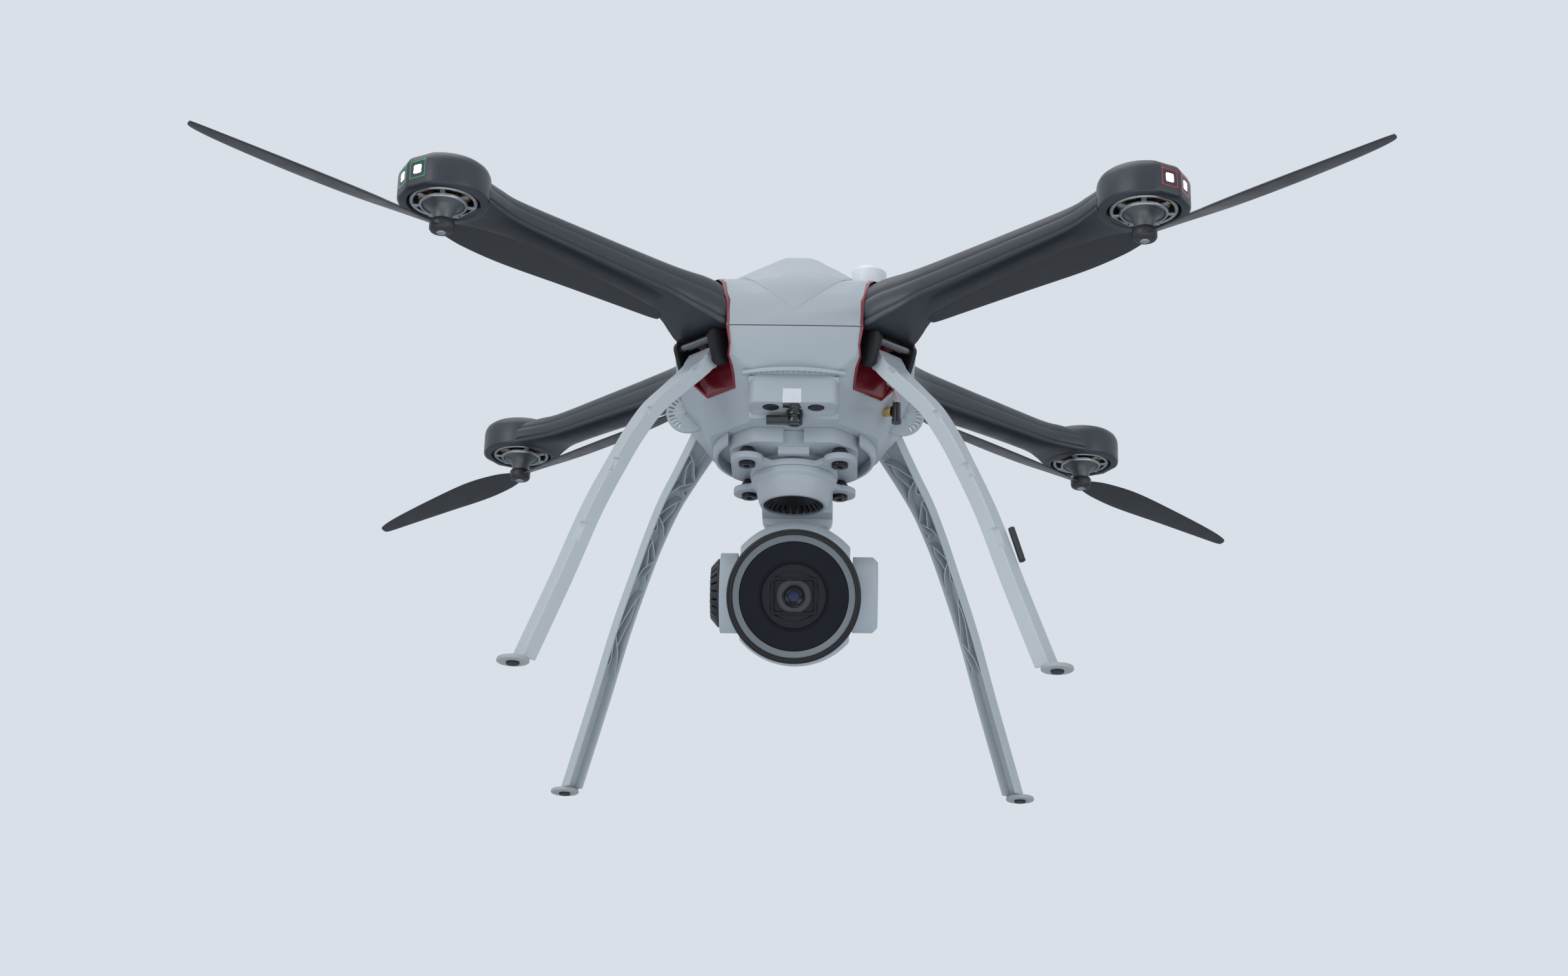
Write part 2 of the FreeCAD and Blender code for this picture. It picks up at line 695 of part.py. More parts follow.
# ------------------------------------------------------------------ yaw stage
ball_x, ball_z = dim.ball_side, dim.ball_level
flange = dim.yaw_flange_radius
yaw_top = dim.plate_low - dim.fit_gap
cup = spun([
    (0, yaw_top), (flange, yaw_top), (flange, yaw_top - 4), (flange - 2.8, yaw_top - 6),
    (dim.yaw_rim_radius + 1.5, dim.yaw_rim_low + 3),
    (dim.yaw_rim_radius, dim.yaw_rim_low), (dim.yaw_rim_radius - dim.yaw_wall, dim.yaw_rim_low),
    (dim.yaw_rim_radius - 0.5, dim.yaw_rim_low + 3), (flange - 5, yaw_top - 8),
    (flange - 5, yaw_top - 3), (0, yaw_top - 3),
])
cup_inside = spun([
    (0, dim.yaw_rim_low - 1), (dim.yaw_rim_radius - dim.yaw_wall, dim.yaw_rim_low - 1),
    (dim.yaw_rim_radius - dim.yaw_wall, dim.yaw_rim_low),
    (dim.yaw_rim_radius - 0.5, dim.yaw_rim_low + 3), (flange - 5, yaw_top - 8),
    (flange - 5, yaw_top - 3), (0, yaw_top - 3),
])
neck_x = ball_x
roll_back = dim.bracket_back + 1.0
block = box(neck_x - 25, neck_x + 25, 12, 38, dim.yaw_rim_low,
            dim.screw_head_low - dim.screw_clear)
neck = prism([
    (24, dim.yaw_rim_low + 4), (36, dim.yaw_rim_low + 16), (52, dim.yaw_rim_low + 12),
    (72, ball_z + 52), (84, ball_z + 30), (86, ball_z - 10), (80, ball_z - 16),
    (roll_back, ball_z - 16), (roll_back, ball_z + 20), (roll_back - 4, ball_z + 38),
    (44, dim.yaw_rim_low - 6), (28, dim.yaw_rim_low - 4),
], "x", neck_x - dim.neck_half, 2 * dim.neck_half)
yaw_housing = cup.fuse(block).fuse(neck).cut(cup_inside)
yaw_housing = yaw_housing.fuse(Part.makeCylinder(dim.yaw_shaft_radius, dim.plate_thick + 2.5,
                                                 Vector(0, 0, yaw_top - 1)))
roll_bore = dim.trunnion_radius + 0.05
yaw_housing = yaw_housing.cut(rod(roll_bore, (ball_x, roll_back - 1, ball_z),
                                  (ball_x, roll_back + 12, ball_z)))
solid_node("yaw_housing", yaw_housing)

sink_top = yaw_top - 3
sink_low = dim.yaw_rim_low - 1.0
heatsink = new_body("yaw_heatsink")
revolved(heatsink, [
    (Size(8.0), sink_top - 4), (dim.yaw_rim_radius - 3.0, dim.yaw_rim_low + 1.4),
    (dim.yaw_flange_radius - 5.4, yaw_top - 8), (dim.yaw_flange_radius - 5.4, sink_top),
    (Size(8.0), sink_top),
])
doc.recompute()
fin_sketch = sketch_on(heatsink, "XY_Plane", "fin_gap_outline", sink_low)
outline(fin_sketch, [(dim.yaw_rim_radius - 7.5, -0.8), (dim.yaw_rim_radius + 3.5, -0.8),
                     (dim.yaw_rim_radius + 3.5, 0.8), (dim.yaw_rim_radius - 7.5, 0.8)])
fin_gap = pocket(heatsink, fin_sketch, "fin_gap", sink_top - 2.0 - sink_low, back=True)
ringed(heatsink, fin_gap, 26, "fin_gaps")

# ------------------------------------------------------------------ roll bracket
half_z = dim.bracket_half_height
back = dim.bracket_back
inner_back = dim.bracket_back - dim.bridge_thick
left_out, right_out = ball_x - dim.bracket_left, ball_x + dim.bracket_right
left_in, right_in = ball_x - dim.bracket_in, ball_x + dim.bracket_in
bracket = prism([
    (left_out, 0), (left_in, 0), (left_in, 36), (ball_x - 26, inner_back),
    (ball_x + 26, inner_back), (right_in, 36), (right_in, 0), (right_out, 0),
    (right_out, 30), (ball_x + 32, back), (ball_x - 32, back), (left_out, 30),
], "z", ball_z - half_z, 2 * half_z)
left_disc = rod(dim.left_disc_radius, (left_in, 0, ball_z), (left_out, 0, ball_z))
right_disc = rod(dim.right_disc_radius, (right_in, 0, ball_z), (right_out, 0, ball_z))
right_disc = right_disc.makeChamfer(3.5, [edge for edge in right_disc.Edges
                                          if edge.BoundBox.XMin > right_out - 0.1])
bracket = bracket.fuse(left_disc).fuse(right_disc)
bracket = bracket.fuse(rod(dim.trunnion_radius, (ball_x, back - 1, ball_z),
                           (ball_x, back + 11, ball_z)))
tilt_bore = dim.trunnion_radius + 0.05
for inner, outer in ((left_in, left_in - 8), (right_in, right_in + 8)):
    bracket = bracket.cut(rod(tilt_bore, (inner, 0, ball_z), (outer, 0, ball_z)))
solid_node("roll_bracket", bracket)

knob = new_body("tilt_knob")
cap_tall = dim.knob_tip - dim.bracket_left
revolved(knob, [
    (0.0, 0.0), (dim.knob_radius, 0.0), (dim.knob_radius, 1.6), (dim.knob_radius - 6, cap_tall),
    (0.0, cap_tall),
])
doc.recompute()
rib_sketch = sketch_on(knob, "XY_Plane", "rib_gap_outline", Size(1.6))
outline(rib_sketch, [(dim.knob_radius - 9, -0.7), (dim.knob_radius + 1, -0.7),
                     (dim.knob_radius + 1, 0.7), (dim.knob_radius - 9, 0.7)])
rib_gap = pocket(knob, rib_sketch, "rib_gap", cap_tall + 1.0, back=True)
ringed(knob, rib_gap, 24, "rib_gaps")
knob.Placement = Placement(Vector(left_out, 0, ball_z), Rotation(YAXIS, -90))
knob.setExpression("Placement.Base.x", formula_of(left_out))
knob.setExpression("Placement.Base.z", formula_of(ball_z))

# ------------------------------------------------------------------ camera ball
# the camera is drawn looking along -Y from its own centre and then pitched down
pitch = Placement(Vector(ball_x, 0, ball_z), Rotation(XAXIS, dim.ball_pitch))


def pitched(shape):
    copy = shape.copy()
    copy.Placement = pitch
    return copy


ball_places = [dim.ball_flat * share for share in (-1, -0.8, -0.52, -0.2, 0.2, 0.52, 0.8, 1)]
ball_profile = [Vector(x, math.sqrt(dim.ball_radius ** 2 - x ** 2), 0) for x in ball_places]
ball_profile = [Vector(-dim.ball_flat, 0, 0)] + ball_profile + [Vector(dim.ball_flat, 0, 0)]
sphere = Part.Face(Part.makePolygon(ball_profile + ball_profile[:1])).revolve(
    Vector(0, 0, 0), XAXIS, 360)
trimmed = sphere.common(box(-dim.ball_flat, dim.ball_flat, -dim.bezel_back - 1, 60, -60, 60))
trimmed = trimmed.fuse(rod(dim.trunnion_radius, (-dim.ball_flat - 8.5, 0, 0),
                           (dim.ball_flat + 8.5, 0, 0)))
barrel_back = dim.left_disc_radius + 2.5
barrel_radius = dim.bezel_radius - 1.5
trimmed = trimmed.fuse(rod(barrel_radius, (0, -dim.bezel_back, 0), (0, -barrel_back, 0)))
collar_cone = Part.makeCone(barrel_radius, barrel_radius - 4, 12, Vector(0, -barrel_back, 0), YAXIS)
trimmed = trimmed.fuse(collar_cone.common(
    box(-dim.ball_flat, dim.ball_flat, -60, 0, -60, 60)))
front_cup = rod(dim.bezel_bore, (0, -dim.bezel_front + 2, 0), (0, -dim.bezel_back, 0))
camera_housing = trimmed.fuse(front_cup.cut(
    Part.makeCone(dim.bezel_bore - 0.8, dim.glass_radius, 5,
                  Vector(0, -dim.bezel_front + 2, 0), YAXIS)))
glass_back = -dim.bezel_front + 7.0
camera_housing = camera_housing.cut(rod(dim.glass_radius, (0, -60, 0), (0, glass_back, 0)))
camera_housing = camera_housing.cut(rod(dim.window_radius, (0, -60, 0), (0, glass_back + 14, 0)))
solid_node("camera_housing", pitched(camera_housing))
bezel = rod(dim.bezel_radius, (0, -dim.bezel_front, 0), (0, -dim.bezel_back, 0)).cut(
    rod(dim.bezel_bore, (0, -60, 0), (0, -dim.bezel_back + 1, 0)))
bezel = bezel.makeChamfer(1.2, [edge for edge in bezel.Edges
                                if edge.BoundBox.YMax < -dim.bezel_front + 0.1])
solid_node("lens_ring", pitched(bezel))
front_plate = rod(dim.glass_radius, (0, glass_back - 2, 0), (0, glass_back, 0)).cut(
    rod(dim.window_radius, (0, -60, 0), (0, 0, 0)))
solid_node("front_plate", pitched(front_plate))
frame_outer = box(-15.5, 15.5, glass_back + 2, glass_back + 14, -12.5, 12.5)
frame_inner = box(-13.5, 13.5, glass_back + 1, glass_back + 8, -10.5, 10.5)
lens_block = rod(dim.window_radius, (0, glass_back + 9, 0), (0, glass_back + 14, 0))
lens_block = lens_block.fuse(frame_outer).cut(frame_inner)
lens = rod(dim.lens_radius, (0, glass_back + 4, 0), (0, glass_back + 9, 0))
lens_block = lens_block.fuse(lens)
window = rod(dim.window_radius, (0, glass_back - 1.6, 0), (0, glass_back - 0.4, 0))
solid_node("lens_block", Part.makeCompound([pitched(lens_block), pitched(window)]))

# ------------------------------------------------------------------ radio lead, front right
jack_turn = math.radians(CORNERS[1][1])
out_way = Vector(math.cos(jack_turn), math.sin(jack_turn), 0)
side_way = Vector(-math.sin(jack_turn), math.cos(jack_turn), 0)
jack_side = dim.leg_root_width / 2 + 8.5
jack = out_way * (dim.socket_back + 4) + side_way * jack_side + ZAXIS * (dim.floor_level + 15.5)
jack_way = (out_way - ZAXIS * 0.2).normalize()
jack_seat = jack - jack_way * 10
flange_piece = Part.makeCylinder(4.0, 1.6, jack - jack_way * 1.6, jack_way)
barrel_piece = Part.makeCylinder(3.1, 10.0, jack_seat, jack_way)
connector = flange_piece.fuse(barrel_piece).cut(lower_form)
solid_node("radio_connector", connector)
lower_shell = lower_shell.cut(Part.makeCylinder(3.1, 10.0, jack_seat, jack_way))

plug_axis = jack + jack_way * 3.2
plug = Part.makeCylinder(3.0, 14.0, plug_axis + Vector(0, 0, -6.0), ZAXIS)
plug = plug.fuse(Part.makeCylinder(3.4, 3.0, plug_axis + Vector(0, 0, -9.0), ZAXIS))
plug = plug.cut(Part.makeCylinder(4.0, 8.0, jack - jack_way * 8.0, jack_way))
lead_start = plug_axis + Vector(0, 0, 8.0)
route = [lead_start, lead_start + ZAXIS * 5.5 - side_way * 0.4,
         lead_start + ZAXIS * 10.5 - side_way * 3.2 - out_way * 1.6,
         lead_start + ZAXIS * 13.2 - side_way * 4.6 - out_way * 5.0]


def cord_path(points, share=0.45):
    """Straight runs joined by tangent arcs, each as large as its two runs allow."""
    edges, start = [], points[0]
    for before, corner, after in zip(points, points[1:], points[2:]):
        back_way, fore_way = before - corner, after - corner
        cut = share * min(back_way.Length, fore_way.Length)
        half = back_way.getAngle(fore_way) / 2
        back_way.normalize()
        fore_way.normalize()
        first, last = corner + back_way * cut, corner + fore_way * cut
        radius = cut * math.tan(half)
        middle_way = (back_way + fore_way).normalize()
        middle = corner + middle_way * (radius / math.sin(half) - radius)
        edges.append(Part.LineSegment(start, first).toShape())
        edges.append(Part.Arc(first, middle, last).toShape())
        print("lead bend radius", round(radius, 2))
        start = last
    edges.append(Part.LineSegment(start, points[-1]).toShape())
    return Part.Wire(edges)


lead_radius = 0.9
lead_path = cord_path(route)
lead = lead_path.makePipeShell(
    [Part.Wire(Part.makeCircle(lead_radius, route[0], route[1] - route[0]))], True, True)
print("lead length", round(lead_path.Length, 2), "volume share",
      round(lead.Volume / (math.pi * lead_radius ** 2 * lead_path.Length), 3))
solid_node("coax_lead", plug.fuse(lead))
lead_channel = lead_path.makePipeShell(
    [Part.Wire(Part.makeCircle(lead_radius + dim.fit_gap, route[0], route[1] - route[0]))], True, True)
lead_channel = lead_channel.fuse(Part.makeSphere(lead_radius + dim.fit_gap, route[-1]))
solid_node("lower_shell", lower_shell.cut(lead_channel))
solid_node("socket_liners", Part.makeCompound([piece.cut(lead_channel) for piece in liners]))

# ------------------------------------------------------------------ hinges, along +X
cheek_out = dim.cheek_in + dim.cheek_thick
hinge_back = dim.socket_back + dim.liner_wall


def nose_corners(reach, level, radius, start, stop, steps=4):
    """Corners round a pin, from one direction to another in degrees."""
    spokes = [math.radians(start + (stop - start) * step / steps) for step in range(steps + 1)]
    return [(reach + radius * math.cos(spoke), level + radius * math.sin(spoke)) for spoke in spokes]


def cheek(start, length):
    """A bracket cheek whose two noses are rounded about the pins."""
    corners = [(hinge_back, dim.leg_pin_level + 5)]
    corners += nose_corners(dim.leg_pin_reach, dim.leg_pin_level, dim.leg_pin_radius + 2.6, 225, 345)
    corners += nose_corners(dim.arm_pin_reach, dim.arm_pin_level, dim.arm_pin_radius + 2.6, -15, 95)
    corners += [(hinge_back, dim.arm_pin_level + 5)]
    return prism(corners, "y", start, length)


bracket_form = box(hinge_back, hinge_back + 3, -cheek_out, cheek_out,
                   dim.leg_pin_level + 5, dim.arm_pin_level + 5)
bracket_form = bracket_form.fuse(cheek(dim.cheek_in, dim.cheek_thick))
bracket_form = bracket_form.fuse(cheek(-cheek_out, dim.cheek_thick))
pin_end = cheek_out - dim.pin_recess
arm_pin = rod(dim.arm_pin_radius, (dim.arm_pin_reach, -pin_end, dim.arm_pin_level),
              (dim.arm_pin_reach, pin_end, dim.arm_pin_level))
leg_pin = rod(dim.leg_pin_radius, (dim.leg_pin_reach, -pin_end, dim.leg_pin_level),
              (dim.leg_pin_reach, pin_end, dim.leg_pin_level))
bracket_form = bracket_form.cut(arm_pin).cut(leg_pin)
bracket_form = bracket_form.common(prism(shrunk(SOCKET, dim.liner_wall), "x",
                                         dim.socket_back, 60))
solid_node("hinge_brackets", Part.makeCompound(about_diagonals(bracket_form)))
solid_node("hinge_pins", Part.makeCompound(
    [pin for form in (arm_pin, leg_pin) for pin in about_diagonals(form)]))

# ------------------------------------------------------------------ arm shell, along +X
low, top, beam = dim.skirt_low, dim.arm_top, dim.arm_beam_half
# reach, half width, top, lower edge, keel
ARM_STATIONS = (
    (dim.arm_root_back, dim.arm_root_half, top - 2.0, low, low),
    (dim.arm_root_back + 8, dim.arm_root_half - 0.6, top - 0.8, low + 0.5, low - 0.4),
    (dim.arm_root_back + 16, dim.arm_root_half - 3.0, top, low + 3.5, low + 2.2),
    (dim.arm_root_back + 27, beam + 4.6, top, dim.beam_low - 6.3, dim.beam_low - 7.8),
    (dim.arm_root_back + 42, beam + 1.4, top, dim.beam_low - 1.8, dim.beam_low - 3.2),
    (dim.arm_root_back + 70, beam + 0.2, top, dim.beam_low, dim.beam_low - 1.6),
    (dim.arm_root_back + 122, beam - 0.4, top, dim.beam_low + 2.6, dim.beam_low + 1.0),
    (dim.motor_reach - 56, beam, top + 0.2, dim.beam_low + 4.6, dim.beam_low + 3.4),
    (dim.motor_reach - 36, beam + 4.0, top + 1.2, dim.pod_low + 0.8, dim.pod_low + 0.4),
    (dim.motor_reach - 20, beam + 10, dim.pod_top - 2.5, dim.pod_low + 0.6, dim.pod_low + 0.4),
)


def arm_section(reach, half, high, edge, keel):
    tall = high - edge
    right = [(half, edge), (half * 0.97, edge + tall * 0.42), (half * 0.74, edge + tall * 0.84),
             (half * 0.34, high)]
    left = [(-t, z) for t, z in reversed(right)]
    corners = [Vector(reach, t, z) for t, z in [(0, keel)] + right + left]
    return Part.makePolygon(corners + corners[:1])


def pod_plan(level, inset=0.0):
    """The pod from above: round, with two lamp flats at its outer end."""
    radius, end = dim.pod_radius - inset, dim.pod_end - inset
    turn = math.radians(dim.lamp_turn)
    spread = turn + math.acos(end / radius)
    centre = dim.motor_reach
    tip = Vector(centre + end / math.cos(turn), 0, level)
    first = Vector(centre + radius * math.cos(spread), radius * math.sin(spread), level)
    last = Vector(first.x, -first.y, level)
    return Part.Wire([
        Part.LineSegment(last, tip).toShape(), Part.LineSegment(tip, first).toShape(),
        Part.Arc(first, Vector(centre - radius, 0, level), last).toShape(),
    ])


def lamp_frame(turn, depth, side):
    """A square window block on the lamp flat that faces so many degrees off the arm."""
    face = dim.pod_end
    block = box(face - depth, face + 2, -side / 2, side / 2,
                dim.lamp_level - side / 2, dim.lamp_level + side / 2)
    block.rotate(Vector(0, 0, 0), ZAXIS, turn)
    block.translate(Vector(dim.motor_reach, 0, 0))
    return block


arm_form = Part.makeLoft([arm_section(*station) for station in ARM_STATIONS], True, True)
pod = Part.makeLoft([pod_plan(dim.pod_low, 1.0), pod_plan(dim.pod_low + 1.4),
                     pod_plan(dim.pod_top - 8), pod_plan(dim.pod_top - 2.8, 2.0),
                     pod_plan(dim.pod_top, 7.0)], True, True)
arm_form = arm_form.fuse(pod)
arm_form = arm_form.cut(Part.makeCylinder(
    dim.pocket_radius, dim.pocket_top - dim.pod_low + 5,
    Vector(dim.motor_reach, 0, dim.pod_low - 5)))
for turn in (-dim.lamp_turn, dim.lamp_turn):
    arm_form = arm_form.cut(lamp_frame(turn, dim.lamp_depth, dim.lamp_side))
lug = rod(dim.arm_lug_radius, (dim.arm_pin_reach, -dim.arm_lug_half, dim.arm_pin_level),
          (dim.arm_pin_reach, dim.arm_lug_half, dim.arm_pin_level))
lug = lug.fuse(box(dim.arm_pin_reach - 4.5, dim.arm_pin_reach + 4.5, -dim.arm_lug_half,
                   dim.arm_lug_half, dim.arm_pin_level, dim.skirt_low + 4))
pin_bore = dim.arm_pin_radius + dim.pin_gap
arm_form = arm_form.fuse(lug).cut(
    rod(pin_bore, (dim.arm_pin_reach, -20, dim.arm_pin_level),
        (dim.arm_pin_reach, 20, dim.arm_pin_level)))

lamp_forms = []
pod_skin = Part.makeLoft([pod_plan(dim.pod_low), pod_plan(dim.pod_top)], True, True)
for turn in (-dim.lamp_turn, dim.lamp_turn):
    lamp_forms.append(lamp_frame(turn, dim.lamp_depth, dim.lamp_side - 0.2).common(pod_skin))

# ------------------------------------------------------------------ leg, along +X
LEG_LINE = (
    (95.0, 256.5), (101.6, 246.5), (120.7, 226.5), (138.0, 208.0), (153.0, 186.0),
    (166.0, 163.0), (188.0, 120.0), (210.0, 68.0), (238.6, 3.5),
)
LEG_HALVES = (12.0, 11.4, 9.0, 7.6, 6.6, 6.0, 6.0, 6.0, 6.0)


def leg_frames():
    """Place, way down the leg and outward way at each point of its line."""
    frames = []
    for index, (reach, level) in enumerate(LEG_LINE):
        before = LEG_LINE[max(index - 1, 0)]
        after = LEG_LINE[min(index + 1, len(LEG_LINE) - 1)]
        way = Vector(after[0] - before[0], 0, after[1] - before[1]).normalize()
        frames.append((Vector(reach, 0, level), Vector(-way.z, 0, way.x)))
    return frames


flare = (dim.leg_mouth - dim.leg_face) / 2


def leg_wires(out, deep, trim_face, trim_mouth):
    wires = []
    for (place, outward), half in zip(leg_frames(), LEG_HALVES):
        face, mouth = half - trim_face, half + flare - trim_mouth
        corners = [place + outward * out + YAXIS * face, place + outward * out - YAXIS * face,
                   place - outward * deep - YAXIS * mouth, place - outward * deep + YAXIS * mouth]
        wires.append(Part.makePolygon(corners + corners[:1]))
    return wires


def at_leg(share, across, deep):
    """A point inside the channel: share along the line, across it and deep below its face."""
    frames = leg_frames()
    place = share * (len(frames) - 1)
    index = min(int(place), len(frames) - 2)
    part = place - index
    (a, n), (b, m) = frames[index], frames[index + 1]
    half = LEG_HALVES[index] * (1 - part) + LEG_HALVES[index + 1] * part
    outward = (n * (1 - part) + m * part).normalize()
    width = half + flare * deep / dim.leg_depth - dim.leg_wall * 0.5
    return a * (1 - part) + b * part - outward * deep + YAXIS * (across * width)


def rib_between(share_a, side_a, share_b, side_b, thick=1.2):
    """A thin rib across the channel from one flank to the other."""
    high, deep = dim.leg_wall * 0.6, dim.leg_depth - 1.2
    half = ZAXIS * (thick / 2)
    corners = []
    for share, side in ((share_a, side_a), (share_b, side_b)):
        corners.append((at_leg(share, side, high), at_leg(share, side, deep)))
    (a_top, a_low), (b_top, b_low) = corners
    ends = []
    for upper, lower in ((a_top, a_low), (b_top, b_low)):
        ends.append(Part.makePolygon([upper + half, lower + half, lower - half, upper - half,
                                      upper + half]))
    return Part.makeLoft(ends, True, True)


leg_form = Part.makeLoft(leg_wires(0.0, dim.leg_depth, 0.0, 0.0), True, True)
leg_channel = Part.makeLoft(leg_wires(-dim.leg_wall, dim.leg_depth + 2, dim.leg_wall,
                                      dim.leg_wall - 0.8), True, True)
closed_root = rod(16, (dim.leg_pin_reach, -20, dim.leg_pin_level),
                  (dim.leg_pin_reach, 20, dim.leg_pin_level))
closed_foot = box(200, 260, -20, 20, 0, 17)
leg_form = leg_form.cut(leg_channel.cut(closed_root).cut(closed_foot))
rib_count = 15
first_share, last_share = 0.14, 0.86
for index in range(rib_count):
    share_a = first_share + (last_share - first_share) * index / rib_count
    share_b = first_share + (last_share - first_share) * (index + 1) / rib_count
    side = 1 if index % 2 else -1
    leg_form = leg_form.fuse(rib_between(share_a, side, share_b, -side))
foot_seat = dim.foot_top
leg_form = leg_form.cut(box(180, 300, -30, 30, -20, foot_seat))
leg_lug = rod(dim.leg_lug_radius, (dim.leg_pin_reach, -dim.leg_lug_half, dim.leg_pin_level),
              (dim.leg_pin_reach, dim.leg_lug_half, dim.leg_pin_level))
leg_form = leg_form.fuse(leg_lug)
leg_form = leg_form.cut(box(60, 84, -30, 30, 220, 262))
leg_bore = dim.leg_pin_radius + dim.pin_gap
leg_form = leg_form.cut(rod(leg_bore, (dim.leg_pin_reach, -30, dim.leg_pin_level),
                            (dim.leg_pin_reach, 30, dim.leg_pin_level)))
for share in (0.40, 0.53, 0.67, 0.80):
    place = at_leg(share, 0.0, 0.0)
    notch = box(-3.5, 3.5, -3.0, 3.0, -1.0, 1.0)
    notch.rotate(Vector(0, 0, 0), YAXIS, 64)
    notch.translate(place + Vector(0, 4.0, 0))
    leg_form = leg_form.cut(notch)
stub = rod(2.2, (196, 8.5, 108), (205, 8.5, 84))

for name, degrees in CORNERS:
    arm_shell = solid_node("arm_shell_" + name, arm_form, degrees)
    solid_node("arm_lamps_" + name, Part.makeCompound(lamp_forms), degrees)
    solid_node("leg_" + name, leg_form, degrees)
    foot = new_body("foot_" + name)
    revolved(foot, [
        (0.0, 0.0), (dim.pad_radius, 0.0), (dim.pad_radius, dim.foot_top - dim.foot_thick),
        (dim.foot_radius, dim.foot_top - dim.foot_thick), (dim.foot_radius - 0.6, dim.foot_top),
        (0.0, dim.foot_top),
    ])
    turned(foot, degrees, dim.foot_reach)

    stator = new_body("motor_stator_" + name)
    bore = dim.shaft_radius + dim.shaft_gap
    stack_low, stack_high = dim.bell_low + 5.6, dim.bell_low + 17.0
    revolved(stator, [
        (bore, stack_low), (dim.stator_radius, stack_low),
        (dim.stator_radius, stack_high), (dim.shaft_radius + 4.5, stack_high),
        (dim.shaft_radius + 4.5, dim.pocket_top - 2), (dim.stator_radius + 2, dim.pocket_top - 2),
        (dim.stator_radius + 2, dim.pocket_top), (bore, dim.pocket_top),
    ])
    doc.recompute()
    slot_sketch = sketch_on(stator, "XY_Plane", "slot_outline", stack_low - 1)
    outline(slot_sketch, [(dim.shaft_radius + 6.5, -0.9), (dim.stator_radius + 1, -1.4),
                          (dim.stator_radius + 1, 1.4), (dim.shaft_radius + 6.5, 0.9)])
    slot = pocket(stator, slot_sketch, "slot", stack_high - stack_low + 2, back=True)
    ringed(stator, slot, 9, "slots")
    turned(stator, degrees, dim.motor_reach)

    bell = new_body("motor_bell_" + name)
    inner = dim.bell_radius - dim.bell_wall
    revolved(bell, [
        (0.0, dim.stud_low), (dim.stud_radius, dim.stud_low), (dim.stud_radius, dim.cap_top),
        (dim.hub_neck_radius, dim.cap_top), (dim.hub_neck_radius + 1.5, dim.cap_top + 5.6),
        (dim.hub_neck_radius + 9.8, dim.bell_low - 2.4),
        (dim.bell_radius, dim.bell_low), (dim.bell_radius, dim.bell_low + dim.bell_height),
        (inner, dim.bell_low + dim.bell_height), (inner, dim.bell_low + 2.4),
        (dim.shaft_radius, dim.bell_low + 2.4), (dim.shaft_radius, dim.pocket_top - 0.4),
        (0.0, dim.pocket_top - 0.4),
    ])
    doc.recompute()
    vent_sketch = sketch_on(bell, "XY_Plane", "vent_outline", dim.bell_low - 4)
    outline(vent_sketch, [(dim.hub_neck_radius + 10.4, -4.2), (inner - 0.4, -5.2),
                          (inner - 0.4, 5.2), (dim.hub_neck_radius + 10.4, 4.2)])
    vent = pocket(bell, vent_sketch, "vent", Size(8.0), back=True)
    ringed(bell, vent, 6, "vents")
    turned(bell, degrees, dim.motor_reach)

# ------------------------------------------------------------------ propellers
# reach along the blade, share of the chord, pitch in degrees
BLADE_STATIONS = ((7.0, 0.50, 24.0), (24.0, 0.78, 22.0), (58.0, 1.0, 17.0),
                  (110.0, 0.86, 12.0), (160.0, 0.62, 9.0), (190.0, 0.20, 7.0))
BLADE_CAMBER = ((-0.50, 0.0), (-0.22, 0.075), (0.12, 0.065), (0.50, 0.0), (0.0, -0.02))


def blade(hand):
    wires = []
    for reach, share, pitch_angle in BLADE_STATIONS:
        reach = reach * dim.prop_radius / BLADE_STATIONS[-1][0]
        chord = dim.prop_chord * share
        thick = max(chord, 11.0)
        angle = math.radians(pitch_angle)
        corners = []
        for across, high in BLADE_CAMBER:
            y, z = across * chord * hand, high * thick
            corners.append(Vector(reach, y * math.cos(angle) - hand * z * math.sin(angle),
                                  y * hand * math.sin(angle) + z * math.cos(angle)))
        wires.append(Part.makePolygon(corners + corners[:1]))
    return Part.makeLoft(wires, True, True)


def propeller(hand):
    hub = spun([
        (dim.stud_radius, dim.cap_low), (dim.cap_radius - 2.2, dim.cap_low),
        (dim.cap_radius, dim.cap_low + 2.2), (dim.cap_radius, dim.cap_top - 1.4),
        (dim.cap_radius - 1, dim.cap_top), (dim.stud_radius, dim.cap_top),
    ])
    first = blade(hand)
    first.translate(Vector(0, 0, dim.prop_level))
    second = first.copy()
    second.rotate(Vector(0, 0, 0), ZAXIS, 180)
    form = hub.fuse(first).fuse(second)
    return form.cut(Part.makeCylinder(dim.stud_radius, 20, Vector(0, 0, dim.cap_low - 5)))


for index, (name, degrees) in enumerate(CORNERS):
    node = solid_node("propeller_" + name, propeller(1 if index % 2 else -1))
    turned(node, degrees, dim.motor_reach)

solid_node("leg_antenna", stub, 315.0)

# ------------------------------------------------------------------ check and write
doc.recompute()
for obj in doc.Objects:
    if "Invalid" in obj.State or "Error" in obj.State:
        raise RuntimeError(f"{obj.Label} failed: {obj.State}")
os.makedirs("parts", exist_ok=True)
for node in nodes:
    shape = node.Shape
    if shape.isNull() or not shape.isValid() or shape.Volume < 1:
        raise RuntimeError(f"{node.Label} has no valid solid")
    shape.exportStep(f"parts/{node.Label}.step")
print(len(nodes), "nodes written")
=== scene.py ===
import json
import math

import bmesh
import bpy
from mathutils import Euler, Matrix, Vector


